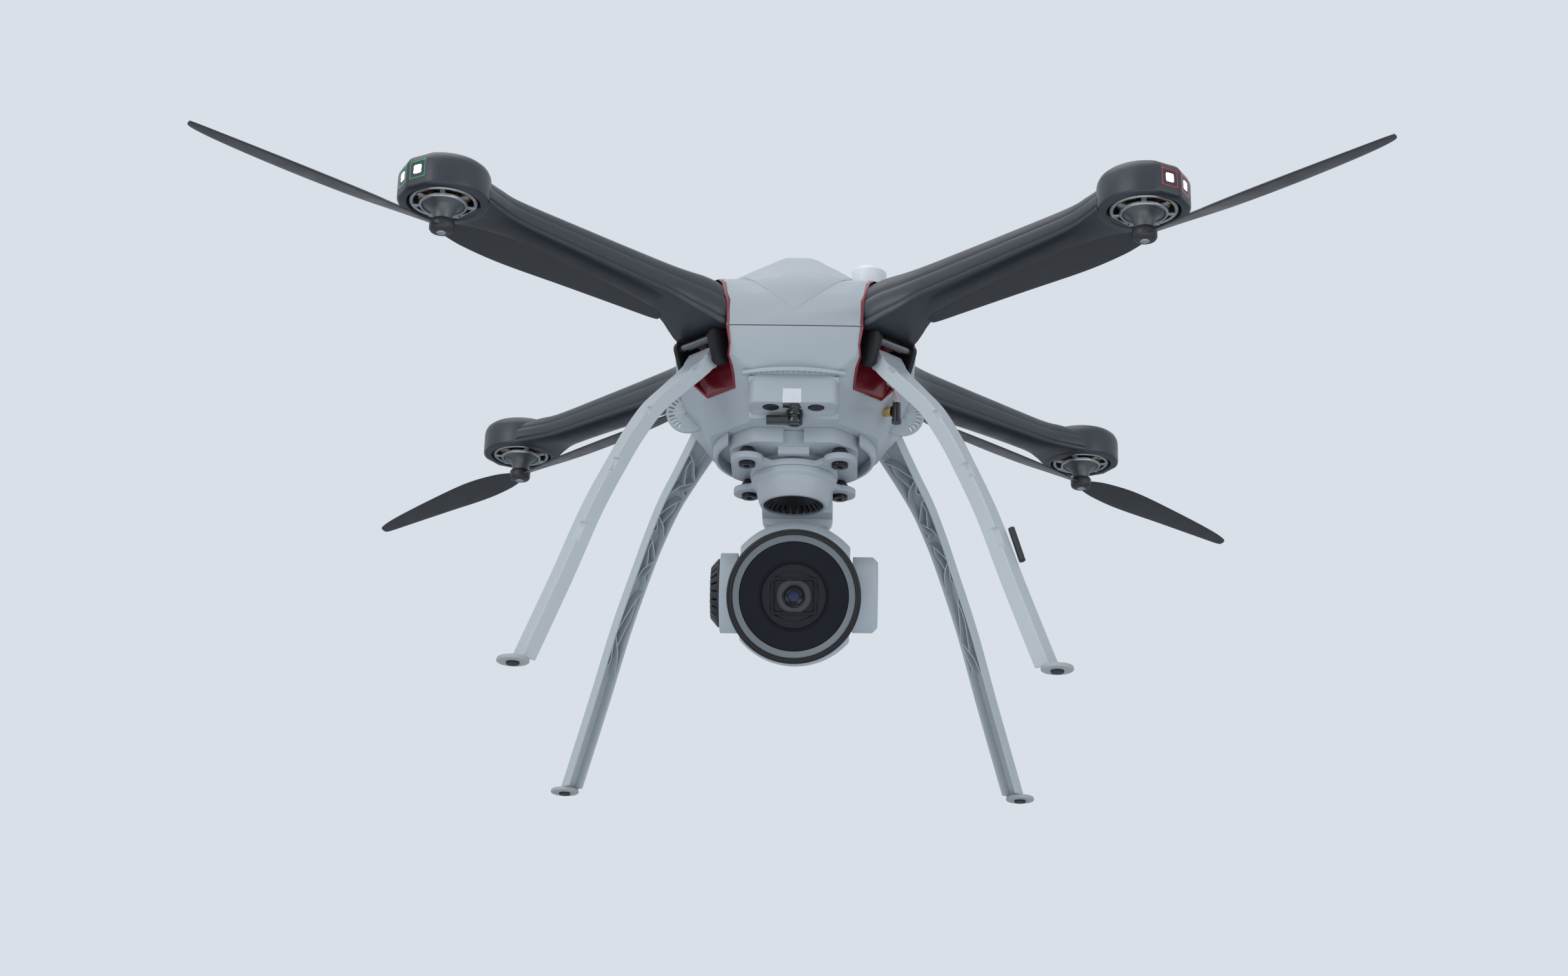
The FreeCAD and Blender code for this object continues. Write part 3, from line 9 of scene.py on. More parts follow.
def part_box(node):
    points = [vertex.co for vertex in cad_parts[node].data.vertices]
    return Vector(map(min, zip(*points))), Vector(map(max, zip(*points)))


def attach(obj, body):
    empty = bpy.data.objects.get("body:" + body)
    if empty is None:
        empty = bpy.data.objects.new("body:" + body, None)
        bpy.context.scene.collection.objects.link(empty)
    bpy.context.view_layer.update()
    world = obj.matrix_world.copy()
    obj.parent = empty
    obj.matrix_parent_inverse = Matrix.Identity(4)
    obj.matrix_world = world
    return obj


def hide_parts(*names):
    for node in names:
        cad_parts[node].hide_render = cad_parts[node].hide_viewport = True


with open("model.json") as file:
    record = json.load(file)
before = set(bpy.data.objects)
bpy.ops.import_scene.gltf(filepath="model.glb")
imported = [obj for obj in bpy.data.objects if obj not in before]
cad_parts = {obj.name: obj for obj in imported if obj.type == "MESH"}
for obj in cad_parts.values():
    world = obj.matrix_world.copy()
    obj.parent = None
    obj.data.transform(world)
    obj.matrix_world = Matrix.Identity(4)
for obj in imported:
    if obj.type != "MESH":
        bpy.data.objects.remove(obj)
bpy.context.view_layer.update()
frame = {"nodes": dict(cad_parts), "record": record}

# ---------------------------------------- the room
# The machine stands in mid air above a pale floor, in front of an even pale sky. Broad soft
# lamps stand over and before it, and one below lifts the underside as light off the ground does.
SKY = (0.695, 0.742, 0.806)
SKY_LIGHT, SKY_POWER = (0.80, 0.86, 0.95), 0.47
FLOOR_LEVEL, FLOOR_HALF = -1.05, 9.0
EYE_PLACE = (0.03555, -1.72634, -0.4621)
EYE_TURN = (110.503, -1.2257, 0.9518)

scene = bpy.context.scene
scene.view_settings.view_transform = "Standard"

eye = bpy.data.objects.new("camera", bpy.data.cameras.new("camera"))
scene.collection.objects.link(eye)
eye.location = EYE_PLACE
eye.rotation_euler = Euler([math.radians(turn) for turn in EYE_TURN], "XYZ")
eye.data.sensor_width = 36.0
eye.data.lens = 59.725
eye.data.clip_start, eye.data.clip_end = 0.02, 60.0
scene.camera = eye

sky = bpy.data.worlds.new("pale_sky")
scene.world = sky
sky.use_nodes = True
sky_tree = sky.node_tree
seen = sky_tree.nodes["Background"]
seen.inputs["Color"].default_value = (*SKY, 1.0)
glow = sky_tree.nodes.new("ShaderNodeBackground")
glow.inputs["Color"].default_value = (*SKY_LIGHT, 1.0)
glow.inputs["Strength"].default_value = SKY_POWER
ray_kind = sky_tree.nodes.new("ShaderNodeLightPath")
either, clear = (sky_tree.nodes.new("ShaderNodeMath") for _ in range(2))
either.operation = clear.operation = "MAXIMUM"
sky_mix = sky_tree.nodes.new("ShaderNodeMixShader")
for start, end in (
    (ray_kind.outputs["Is Camera Ray"], either.inputs[0]),
    (ray_kind.outputs["Is Glossy Ray"], either.inputs[1]),
    (either.outputs[0], clear.inputs[0]),
    (ray_kind.outputs["Is Transmission Ray"], clear.inputs[1]),
    (clear.outputs[0], sky_mix.inputs[0]),
    (glow.outputs[0], sky_mix.inputs[1]),
    (seen.outputs[0], sky_mix.inputs[2]),
    (sky_mix.outputs[0], sky_tree.nodes["World Output"].inputs["Surface"]),
):
    sky_tree.links.new(start, end)

floor_mesh = bpy.data.meshes.new("floor")
floor_form = bmesh.new()
bmesh.ops.create_grid(floor_form, x_segments=2, y_segments=2, size=FLOOR_HALF)
floor_form.to_mesh(floor_mesh)
floor_form.free()
floor_mesh.transform(Matrix.Translation((0, 0, FLOOR_LEVEL)))
floor = bpy.data.objects.new("floor", floor_mesh)
scene.collection.objects.link(floor)
floor_paint = bpy.data.materials.new("floor_paint")
floor_paint.use_nodes = True
floor_shader = floor_paint.node_tree.nodes["Principled BSDF"]
floor_shader.inputs["Base Color"].default_value = (0.66, 0.70, 0.74, 1.0)
floor_shader.inputs["Roughness"].default_value = 0.85
floor_mesh.materials.append(floor_paint)


def lamp(name, place, aim, width, height, power, colour):
    """A rectangular soft box that faces a point."""
    light = bpy.data.lights.new(name, "AREA")
    light.shape = "RECTANGLE"
    light.size, light.size_y = width, height
    light.energy = power
    light.color = colour
    holder = bpy.data.objects.new(name, light)
    scene.collection.objects.link(holder)
    holder.location = place
    holder.rotation_euler = (Vector(aim) - Vector(place)).to_track_quat("-Z", "Y").to_euler()


lamp("overhead", (-0.5, -0.3, 2.4), (0, 0, 0.25), 2.4, 2.4, 29.0, (1.0, 0.985, 0.96))
lamp("front_left", (-2.0, -2.2, 0.9), (0, 0, 0.2), 1.6, 1.6, 21.0, (0.97, 0.98, 1.0))
lamp("front_right", (2.0, -1.7, 0.2), (0, 0, 0.2), 1.4, 1.4, 11.0, (0.95, 0.97, 1.0))
lamp("ground_bounce", (0.0, -0.8, -0.95), (0, 0, 0.2), 2.6, 2.6, 15.0, (0.96, 0.98, 1.0))

# ---------------------------------------- housing
# Two deep mouldings in a pale blue-grey filled nylon meet at a soft gasket, painted black as painted
# shade for the seam's shadowed groove. They come out of spark-eroded tools, so they carry a very fine
# even grain and only a low gloss.
MM = 0.001
EDGE_ROUNDS = 2
SHELL_GREY = (0.408, 0.455, 0.484)


class Tone:
    """A socket in a finish's node tree; arithmetic on it adds Math nodes."""

    def __init__(self, finish, socket):
        self.finish, self.socket = finish, socket

    def sum_of(self, operation, *terms):
        """The result of one Math node on this socket and others."""
        return self.finish.node("ShaderNodeMath", {"operation": operation}, dict(enumerate(terms)))

    def __add__(self, other):
        return self.sum_of("ADD", self, other)

    def __sub__(self, other):
        return self.sum_of("SUBTRACT", self, other)

    def __rsub__(self, other):
        return self.sum_of("SUBTRACT", other, self)

    def __mul__(self, other):
        return self.sum_of("MULTIPLY", self, other)

    def __gt__(self, other):
        return self.sum_of("GREATER_THAN", self, other)

    def __lt__(self, other):
        return self.sum_of("LESS_THAN", self, other)

    __radd__, __rmul__ = __add__, __mul__


class Finish:
    """A material: a Principled shader with its constants, and the nodes that vary it."""

    def __init__(self, name, **constants):
        self.material = bpy.data.materials.new(name)
        self.material.use_nodes = True
        self.tree = self.material.node_tree
        self.shader = self.tree.nodes["Principled BSDF"]
        for socket, value in constants.items():
            self.shader.inputs[socket.replace("_", " ")].default_value = value

    def node(self, kind, settings=None, values=None, output=0):
        """Adds a node: its settings first, then the values or links of its sockets."""
        made = self.tree.nodes.new(kind)
        for name, value in (settings or {}).items():
            if name == "stops":
                stops = made.color_ramp.elements
                while len(stops) < len(value):
                    stops.new(0.5)
                for stop, (place, colour) in zip(stops, value):
                    stop.position, stop.color = place, colour
            else:
                setattr(made, name, value)
        for name, value in (values or {}).items():
            self.feed(made.inputs[name], value)
        return Tone(self, made.outputs[output])

    def feed(self, socket, value):
        if isinstance(value, Tone):
            self.tree.links.new(value.socket, socket)
        else:
            socket.default_value = value

    def place(self):
        return self.node("ShaderNodeTexCoord", output=3)

    def noise(self, scale, detail, roughness=0.5):
        spots = {"Vector": self.place(), "Scale": scale, "Detail": detail, "Roughness": roughness}
        return self.node("ShaderNodeTexNoise", None, spots)

    def part_of(self, tone, low, high, first=0.0, last=1.0):
        """Spreads what a tone does between low and high over first to last."""
        spread = {"Value": tone, "From Min": low, "From Max": high, "To Min": first, "To Max": last}
        return self.node("ShaderNodeMapRange", {"clamp": True}, spread)

    def mix(self, share, first, second):
        colours = [value if isinstance(value, Tone) else (*value, 1.0) for value in (first, second)]
        return self.node("ShaderNodeMix", {"data_type": "RGBA"},
                         {0: share, 6: colours[0], 7: colours[1]}, output=2)

    def relief(self, height, depth, strength=1.0):
        values = {"Height": height, "Distance": depth, "Strength": strength}
        return self.node("ShaderNodeBump", None, values)

    def wear(self, socket, tone):
        """Gives one of the shader's sockets what varies it."""
        self.feed(self.shader.inputs[socket], tone)
        return self


def moulded(name, colour, roughness, grain=0.00004, spread=0.06, **constants):
    """Grained plastic: a slight drift of tone, faint rubbed patches and a fine even grain."""
    finish = Finish(name, **constants)
    drift = finish.noise(9.0, 3.0)
    rubbed = finish.part_of(finish.noise(42.0, 5.0, 0.62), 0.56, 0.74)
    darker = tuple(part * (1 - spread) for part in colour)
    lighter = tuple(part * (1 + spread) for part in colour)
    body = finish.mix(drift, darker, lighter)
    finish.wear("Base Color", finish.mix(rubbed * 0.22, body, tuple(part * 1.12 for part in colour)))
    finish.wear("Roughness", finish.part_of(finish.noise(60.0, 4.0), 0.3, 0.7,
                                            roughness - 0.05, roughness + 0.06) - rubbed * 0.05)
    fine = finish.noise(2600.0, 2.0, 0.6)
    return finish.wear("Normal", finish.relief(fine, grain, 0.5))


def finished(piece, finish, node, crease):
    """Smooth shading with sharp creases, one finish, and the body that the piece rides on."""
    piece.data.shade_smooth()
    piece.data.set_sharp_from_angle(angle=math.radians(crease))
    piece.data.materials.clear()
    piece.data.materials.append(finish.material)
    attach(piece, bodies[node])
    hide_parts(node)
    return piece


def softened(piece, width, crease):
    """Rounds every crease of a piece and bakes the result into its mesh."""
    softening = piece.modifiers.new("soft_edges", "BEVEL")
    softening.width = width
    softening.segments = EDGE_ROUNDS
    softening.limit_method = "ANGLE"
    softening.angle_limit = math.radians(crease)
    bpy.context.view_layer.update()
    depsgraph = bpy.context.evaluated_depsgraph_get()
    rounded = bpy.data.meshes.new_from_object(piece.evaluated_get(depsgraph))
    piece.modifiers.clear()
    piece.data = rounded


def dressed(node, finish, edge=0.0, crease=32.0, moulded_to=None):
    """A smooth copy of one of the frame's solids, with softened edges, that stands for it.

    moulded_to takes a point of the solid, in millimetres, to where the moulding has it.
    """
    form = bmesh.new()
    form.from_mesh(frame["nodes"][node].data)
    bmesh.ops.remove_doubles(form, verts=form.verts, dist=2e-6)
    bmesh.ops.dissolve_limit(form, angle_limit=math.radians(0.6), verts=form.verts, edges=form.edges)
    bmesh.ops.recalc_face_normals(form, faces=form.faces)
    if moulded_to:
        for vert in form.verts:
            vert.co = Vector(moulded_to(*(vert.co / MM))) * MM
    mesh = bpy.data.meshes.new(node + "_skin")
    form.to_mesh(mesh)
    form.free()
    piece = bpy.data.objects.new(node + "_skin", mesh)
    scene.collection.objects.link(piece)
    if edge:
        softened(piece, edge, crease)
    return finished(piece, finish, node, crease)


def turn_by(degrees, axis):
    """A turn about one of the axes."""
    return Matrix.Rotation(math.radians(degrees), 4, axis)


class Form:
    """A mesh in the making, in millimetres, from rings of points and turned profiles."""

    def __init__(self):
        self.mesh = bmesh.new()

    def rings(self, rings, looped=False, capped=True):
        """Joins rings of points into a skin, closed at its ends or looped into a ring."""
        loops = [[self.mesh.verts.new(point) for point in ring] for ring in rings]
        pairs = list(zip(loops, loops[1:])) + ([(loops[-1], loops[0])] if looped else [])
        for first, second in pairs:
            for index in range(len(first)):
                after = (index + 1) % len(first)
                self.mesh.faces.new((first[index], first[after], second[after], second[index]))
        if capped and not looped:
            self.mesh.faces.new(loops[0])
            self.mesh.faces.new(loops[-1])
        return self

    def turned(self, profile, place, looped=False, steps=64):
        """Turns (radius, level) points about the Z axis of a place."""
        spokes = [2 * math.pi * step / steps for step in range(steps)]
        rings = []
        for radius, level in profile:
            radius = max(radius, 0.001)
            rings.append([place @ Vector((radius * math.cos(spoke), radius * math.sin(spoke), level))
                          for spoke in spokes])
        return self.rings(rings, looped)

    def trimmed(self, spot, way):
        """Cuts away all that lies on the far side of a plane, and closes the cut."""
        parts = self.mesh.verts[:] + self.mesh.edges[:] + self.mesh.faces[:]
        cut = bmesh.ops.bisect_plane(self.mesh, geom=parts, plane_co=spot, plane_no=way,
                                     clear_outer=True)["geom_cut"]
        edges = [part for part in cut if isinstance(part, bmesh.types.BMEdge)]
        bmesh.ops.contextual_create(self.mesh, geom=edges)
        return self

    def piece(self, name, finish, node, crease=35.0, degrees=0.0, soft=0.0):
        """Makes the piece, turned so many degrees about the machine's axis."""
        bmesh.ops.remove_doubles(self.mesh, verts=self.mesh.verts, dist=0.003)
        bmesh.ops.recalc_face_normals(self.mesh, faces=self.mesh.faces)
        mesh = bpy.data.meshes.new(name)
        self.mesh.to_mesh(mesh)
        self.mesh.free()
        mesh.transform(turn_by(degrees, "Z") @ Matrix.Scale(MM, 4))
        made = bpy.data.objects.new(name, mesh)
        scene.collection.objects.link(made)
        if soft:
            softened(made, soft, crease)
        return finished(made, finish, node, crease)


bodies = {node: body for body, nodes in frame["record"]["behaviour"]["bodies"].items()
          for node in nodes}

shell_plastic = moulded("shell_plastic", SHELL_GREY, 0.46)
# The seam's gasket is painted black: painted shade that stands for the dark groove between the shells.
gasket_rubber = moulded("gasket_rubber", (0.020, 0.021, 0.023), 0.62)
dressed("seam_gasket", gasket_rubber)

# reach and level along the upper shell's front, from the seam to its crown
SHELL_FRONT = ((79.5, 298.0), (74.5, 310.0), (68.0, 314.0), (58.0, 318.5), (50.0, 321.0), (30.0, 321.0))
HOOD_HALF, HOOD_LOW, HOOD_PROUD, HOOD_SUNK = 37.0, 300.0, 0.3, 0.8


def hood_line(x, y, z):
    """Draws the solid hood down to the shell, under the smooth prow that stands over it."""
    if abs(x) < HOOD_HALF and z > HOOD_LOW:
        for (far, low), (near, high) in zip(SHELL_FRONT, SHELL_FRONT[1:]):
            shell = low + (high - low) * (far + y) / (far - near)
            if near <= -y <= far and z > shell + HOOD_PROUD:
                return x, y, shell - HOOD_SUNK
    return x, y, z


dressed("upper_shell", shell_plastic, 0.0007, moulded_to=hood_line)

# the prow: half width, reach and level at the middle, reach and level at its edge
PROW_ROWS = (
    (0.6, 82.5, 285.0, 82.4, 285.0), (8.0, 81.3, 292.0, 81.0, 292.0), (15.5, 80.3, 298.5, 79.7, 298.2),
    (24.0, 78.5, 305.5, 76.8, 305.2), (30.5, 76.3, 311.5, 73.9, 310.8), (34.5, 72.8, 317.2, 69.1, 314.0),
    (36.0, 67.5, 320.6, 64.9, 316.0), (38.0, 57.0, 323.4, 56.7, 319.3), (40.0, 43.0, 324.6, 43.0, 321.6),
)
PROW_STEPS, PROW_LIP, PROW_TUCK, PROW_DEPTH = 8, 1.0, 1.6, 6.0
prow_rings = []
for half, reach, level, edge_reach, edge_level in PROW_ROWS:
    face = []
    for step in range(-PROW_STEPS, PROW_STEPS + 1):
        share = (step / PROW_STEPS) ** 2
        face.append(Vector((half * step / PROW_STEPS, -reach + (reach - edge_reach) * share,
                            level - (level - edge_level) * share)))
    lips = [Vector((side * (half + PROW_LIP), PROW_TUCK - edge_reach, edge_level - PROW_LIP))
            for side in (-1, 1)]
    root = Vector((0, PROW_DEPTH - edge_reach, edge_level - PROW_DEPTH))
    prow_rings.append([lips[0]] + face + [lips[1], root])
Form().rings(prow_rings).piece("prow", shell_plastic, "upper_shell", crease=24.0)

# ---------------------------------------- nose
# The nose is a box moulded with the lower shell, with a comb of thin fins as a brow over it.
# A strip of mirror tape and two round range sensors behind black mesh sit on its level underside.
NOSE_HALF, NOSE_BACK, NOSE_TOP, NOSE_DRAWN = 31.8, -62.0, 222.0, -60.5
CORNER_STEPS = 5


def nose_line(x, y, z):
    """Draws the solid nose's lower part back, behind the rounded nose that stands over it."""
    if abs(x) < NOSE_HALF and y < NOSE_BACK and z < NOSE_TOP:
        return x, NOSE_DRAWN, z
    return x, y, z


dressed("lower_shell", shell_plastic, 0.0006, moulded_to=nose_line)


def rounded_frame(half_x, half_y, corner, place, level):
    """Points of a rectangle with round corners, in a place."""
    points = []
    for turn, x, y in ((0, 1, 1), (90, -1, 1), (180, -1, -1), (270, 1, -1)):
        for step in range(CORNER_STEPS + 1):
            spoke = math.radians(turn + 90 * step / CORNER_STEPS)
            points.append(place @ Vector((x * (half_x - corner) + corner * math.cos(spoke),
                                          y * (half_y - corner) + corner * math.sin(spoke), level)))
    return points


# half width, half depth, corner and level up the nose
NOSE_ROWS = ((29.6, 11.6, 5.6, 216.7), (30.6, 12.5, 6.6, 217.0), (31.1, 13.0, 7.0, 218.2),
             (31.2, 13.1, 7.0, 226.0), (31.4, 13.4, 7.0, 233.0), (30.6, 12.8, 6.6, 237.0),
             (28.0, 10.5, 5.4, 240.0))
NOSE_MIDDLE = Matrix.Translation((0, -66.2, 0))
Form().rings([rounded_frame(half, deep, corner, NOSE_MIDDLE, level)
              for half, deep, corner, level in NOSE_ROWS]).piece(
    "nose_skin", shell_plastic, "lower_shell", crease=32.0)
dressed("front_grille", shell_plastic, 0.0003)

# the slanting face under the solid nose, and the level face that takes its place
SLANT_FRONT, SLANT_BACK = Vector((-77.6, 221.0)), Vector((-69.2, 212.0))
UNDER_FRONT, UNDER_BACK = Vector((-79.2, 216.7)), Vector((-66.9, 216.7))
FACE_LOW, FACE_PROUD, FACE_RISE, FACE_STRETCH = 221.9, 1.0, 0.5, 1.75
SENSORS_BACK = 3.4


def under_line(x, y, z, back=0.0):
    """Lays what the slanting face carries on the level face, so far back from its edge.

    What stands on the nose's front above it moves out to the rounded nose and down to its edge.
    """
    if z > FACE_LOW:
        return x, y - FACE_PROUD, UNDER_FRONT.y + FACE_RISE + (z - SLANT_FRONT.y) * FACE_STRETCH
    spot, run, flat = Vector((y, z)), SLANT_BACK - SLANT_FRONT, UNDER_BACK - UNDER_FRONT
    share = (spot - SLANT_FRONT).dot(run) / run.dot(run)
    proud = run.orthogonal().normalized().dot(spot - SLANT_FRONT)
    moved = UNDER_FRONT + flat * share + flat.orthogonal().normalized() * proud
    return x, moved.x + back, moved.y


def bare(name, scale, detail, dark, pale, roughness, **constants):
    """An unpainted surface: one fine noise drifts between two colours and two roughnesses."""
    finish = Finish(name, **constants)
    drift = finish.noise(scale, detail)
    finish.wear("Base Color", finish.mix(drift, dark, pale))
    return finish.wear("Roughness", finish.part_of(drift, 0.3, 0.7, *roughness))


strip_chrome = bare("strip_chrome", 160.0, 2.0, (0.80, 0.82, 0.84), (0.88, 0.89, 0.90), (0.05, 0.12),
                    Metallic=1.0)
strip_chrome.wear("Normal", strip_chrome.relief(strip_chrome.noise(160.0, 2.0), 0.0001, 0.5))
dressed("reflective_strip", strip_chrome, 0.0001, moulded_to=under_line)
mesh_black = moulded("mesh_black", (0.016, 0.017, 0.019), 0.52)
dressed("range_sensors", mesh_black, 0.0002,
        moulded_to=lambda x, y, z: under_line(x, y, z, back=SENSORS_BACK))

# ---------------------------------------- dome
# A faceted dome in the housing's plastic covers the battery bay. It is narrow in front, full
# at its sides and bevelled behind, and has a small latch lip in the middle of its front.

# level, front edge, half width there, where the sides are full, half width, rear edge
DOME_ROWS = (
    (315.5, -47.5, 44.0, -40.0, 49.5, 57.5), (326.0, -45.5, 38.5, -38.0, 48.4, 56.0),
    (336.0, -38.0, 28.5, -6.0, 47.0, 54.0), (349.0, -20.0, 19.5, 12.0, 39.5, 46.0),
    (361.0, 0.0, 15.5, 10.6, 22.7, 32.0), (364.6, 2.2, 9.6, 8.0, 13.0, 24.0),
    (365.5, 4.0, 7.0, 8.5, 9.5, 21.0),
)
DOME_BEVEL, BEVEL_SHARE = 7.0, 0.4


def dome_ring(level, front, front_half, shoulder, half, rear):
    """One level of the dome: a narrow front edge, slanting cheeks and a bevelled back."""
    cut = min(DOME_BEVEL, half * BEVEL_SHARE)
    side = [(front_half * 0.5, front), (front_half, front), (half, shoulder),
            (half, rear - cut), (half - cut, rear)]
    return [Vector((x, y, level)) for x, y in side + [(-x, y) for x, y in reversed(side)]]


Form().rings([dome_ring(*row) for row in DOME_ROWS]).piece(
    "dome_skin", shell_plastic, "dome_cover", crease=20.0, soft=0.0012)

# half width, low and high edge, and place of each section through the latch lip
LATCH_ROWS = ((13.5, 327.6, 331.6, -38.0), (13.5, 327.6, 331.6, -44.4), (12.7, 328.2, 331.0, -45.2))
LATCH_SLANT = 3.6
Form().rings([[Vector((x, y, z)) for x, z in (
    (-half, low), (half, low), (half - LATCH_SLANT, high), (LATCH_SLANT - half, high))]
    for half, low, high, y in LATCH_ROWS]).piece(
    "dome_latch", shell_plastic, "dome_cover", crease=30.0, soft=0.0002)

# ---------------------------------------- arm and leg sockets
# Each corner of the housing has a glossy deep red liner, arched over the arm and squared off
# below round the leg. It is injection moulded and stands a little proud of the shell's edge.
liner_red = moulded("liner_red", (0.180, 0.008, 0.016), 0.24, grain=0.00001, spread=0.12,
                    Coat_Weight=0.5, Coat_Roughness=0.12)
dressed("socket_liners", liner_red, 0.0005)

# Inside each liner stand the hinge's black cheeks, with two ground steel pins whose colour is painted
# dark as painted shade for the shadow in the socket.
hinge_black = moulded("hinge_black", (0.013, 0.014, 0.016), 0.42, Specular_IOR_Level=0.25)
dressed("hinge_brackets", hinge_black, 0.0004)
# The pins' colour is far darker than ground steel: painted shade, because they sit in the hinge's
# shadow.
pin_steel = bare("pin_steel", 900.0, 3.0, (0.16, 0.16, 0.17), (0.24, 0.24, 0.25), (0.22, 0.38),
                 Metallic=1.0)
dressed("hinge_pins", pin_steel)

# ---------------------------------------- power and control
# A shrink-wrapped battery fills the dome's bay. The control board hangs under the bay's floor,
# with its copper tracks under a green mask.
BATTERY_SHOULDER, BATTERY_TAPER = 320.0, 0.8
wrap_grey = moulded("wrap_grey", (0.045, 0.048, 0.052), 0.5)
dressed("battery_pack", wrap_grey, 0.0008,
        moulded_to=lambda x, y, z: (x * (BATTERY_TAPER if z > BATTERY_SHOULDER else 1.0), y, z))
board_mask = Finish("board_mask", Roughness=0.35)
tracks = board_mask.noise(420.0, 1.0) > 0.52
board_mask.wear("Base Color", board_mask.mix(tracks, (0.012, 0.085, 0.045), (0.020, 0.125, 0.062)))
board_mask.wear("Normal", board_mask.relief(tracks, 0.00004))
dressed("control_board", board_mask)

# ---------------------------------------- antenna and vents
# The satellite antenna sits under a milky radome beside the dome. Grey louvred discs cover the
# vents in the housing's flanks.
radome_white = moulded("radome_white", (0.80, 0.83, 0.86), 0.38, spread=0.02,
                       Subsurface_Weight=0.25, Subsurface_Radius=(0.01, 0.01, 0.01))
dressed("antenna_puck", radome_white, 0.0012)
disc_grey = moulded("disc_grey", (0.43, 0.48, 0.50), 0.55)
dressed("side_discs", disc_grey, 0.0002)

# ---------------------------------------- payload lock
# A gloss black quarter-turn cam lock holds the payload. Its body hangs under the nose, and its
# flat lever turns on the body's stem.
LOCK_RAISED, LOCK_TOP_RAISED, LOCK_SHOULDER = 3.0, 5.0, 211.5
lock_gloss = moulded("lock_gloss", (0.012, 0.012, 0.014), 0.20, grain=0.00001, Coat_Weight=0.4)
dressed("lock_body", lock_gloss, 0.0003, moulded_to=lambda x, y, z: (
    x, y, z + (LOCK_TOP_RAISED if z > LOCK_SHOULDER else LOCK_RAISED)))
dressed("lock_lever", lock_gloss, 0.0006, moulded_to=lambda x, y, z: (x, y, z + LOCK_RAISED))

# ---------------------------------------- radio lead
# A gold-plated threaded jack carries a short coaxial lead up into the left front socket. The
# lead has a translucent pink jacket, and a black boot over its lower half.
BOOT_SHARE = 0.48
jack_gold = bare("jack_gold", 700.0, 3.0, (0.78, 0.52, 0.19), (0.90, 0.64, 0.27), (0.20, 0.34),
                 Metallic=1.0)
dressed("radio_connector", jack_gold, 0.0001)
lead_low, lead_high = (corner[2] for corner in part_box("coax_lead"))
jacket_pink = Finish("jacket_pink", Coat_Weight=0.3, Subsurface_Weight=0.15,
                     Subsurface_Radius=(0.002, 0.001, 0.001))
height = jacket_pink.node("ShaderNodeSeparateXYZ", None, {0: jacket_pink.place()}, output=2)
braid = jacket_pink.noise(1600.0, 2.0)
boot = height < lead_low + BOOT_SHARE * (lead_high - lead_low)
jacket_pink.wear("Base Color", jacket_pink.mix(boot, (0.60, 0.43, 0.38), (0.014, 0.014, 0.015)))
jacket_pink.wear("Roughness", jacket_pink.part_of(braid, 0.3, 0.7, 0.24, 0.36) + boot * 0.15)
dressed("coax_lead", jacket_pink)

# ---------------------------------------- payload dock
# The payload hangs from a rigid collar on four rubber balls, so that the camera doesn't feel
# the rotors. Each ball is clamped by a black oxide cap screw under the lower plate.
dock_plastic = moulded("dock_plastic", (0.430, 0.478, 0.508), 0.48)
for node in ("payload_collar", "payload_dock", "damper_plate"):
    dressed(node, dock_plastic, 0.0005)
damper_rubber = moulded("damper_rubber", (0.012, 0.012, 0.013), 0.55, grain=0.00006)
dressed("damper_balls", damper_rubber)
screw_black = moulded("screw_black", (0.018, 0.018, 0.020), 0.34, Metallic=0.6)
dressed("damper_screws", screw_black, 0.0002)

# ---------------------------------------- gimbal
# The yaw motor hides in a cup round a black finned heat sink. A curved neck drops from it to
# the roll bracket, whose two cheeks carry the camera ball on its tilt axis.
gimbal_plastic = moulded("gimbal_plastic", (0.470, 0.520, 0.552), 0.44)
dressed("yaw_housing", gimbal_plastic, 0.0006)
dressed("roll_bracket", gimbal_plastic, 0.0009)
fin_black = moulded("fin_black", (0.030, 0.031, 0.034), 0.36, Metallic=0.5)
dressed("yaw_heatsink", fin_black, 0.0002)
dressed("tilt_knob", fin_black, 0.0003)

# the yaw motor's cradle behind the cup, with its round lower corners: half width, half height, depth
CRADLE_ROWS = ((24.0, 10.0, 26.0), (25.2, 11.2, 27.2), (25.2, 11.2, 37.2), (24.0, 10.0, 38.4))
CRADLE_CORNER, CRADLE_LEVEL, GIMBAL_ASIDE = 6.5, 175.4, 2.5
Form().rings([rounded_frame(half, tall, CRADLE_CORNER, Matrix.Translation(
    (GIMBAL_ASIDE, depth, CRADLE_LEVEL)) @ turn_by(90, "X"), 0.0)
    for half, tall, depth in CRADLE_ROWS]).piece(
    "yaw_cradle", gimbal_plastic, "yaw_housing", crease=50.0)

# ---------------------------------------- camera
# The ball is a pale moulding with flats at its sides, split down the middle. A grooved black
# bezel rings a grey cone and the black front plate; the lens sits in a square mount behind it.
TILT_LEVEL, TILT = 104.5, 20.0
CAMERA_TILT = Matrix.Translation((GIMBAL_ASIDE, 0, TILT_LEVEL)) @ turn_by(TILT, "X")
LOOKING, ACROSS = CAMERA_TILT @ turn_by(90, "X"), CAMERA_TILT @ turn_by(90, "Y")
BALL, FLAT, BALL_STEPS, FRONT_CUT = 50.4, 38.0, 14, 42.6
HUB_RADIUS, HUB_LENGTH, CHEEK_RADIUS = 8.0, 8.4, 31.5
half_arc = math.asin(FLAT / BALL)
ball_profile = [(BALL * math.cos(half_arc * step / BALL_STEPS),
                 BALL * math.sin(half_arc * step / BALL_STEPS))
                for step in range(-BALL_STEPS, BALL_STEPS + 1)]
ball = Form().turned([(HUB_RADIUS, -FLAT - HUB_LENGTH), (HUB_RADIUS, -FLAT), (CHEEK_RADIUS, -FLAT)]
                     + ball_profile + [(CHEEK_RADIUS, FLAT), (HUB_RADIUS, FLAT),
                                       (HUB_RADIUS, FLAT + HUB_LENGTH)], ACROSS, steps=96)
ball.trimmed(LOOKING @ Vector((0, 0, FRONT_CUT)), LOOKING.to_3x3() @ Vector((0, 0, 1)))
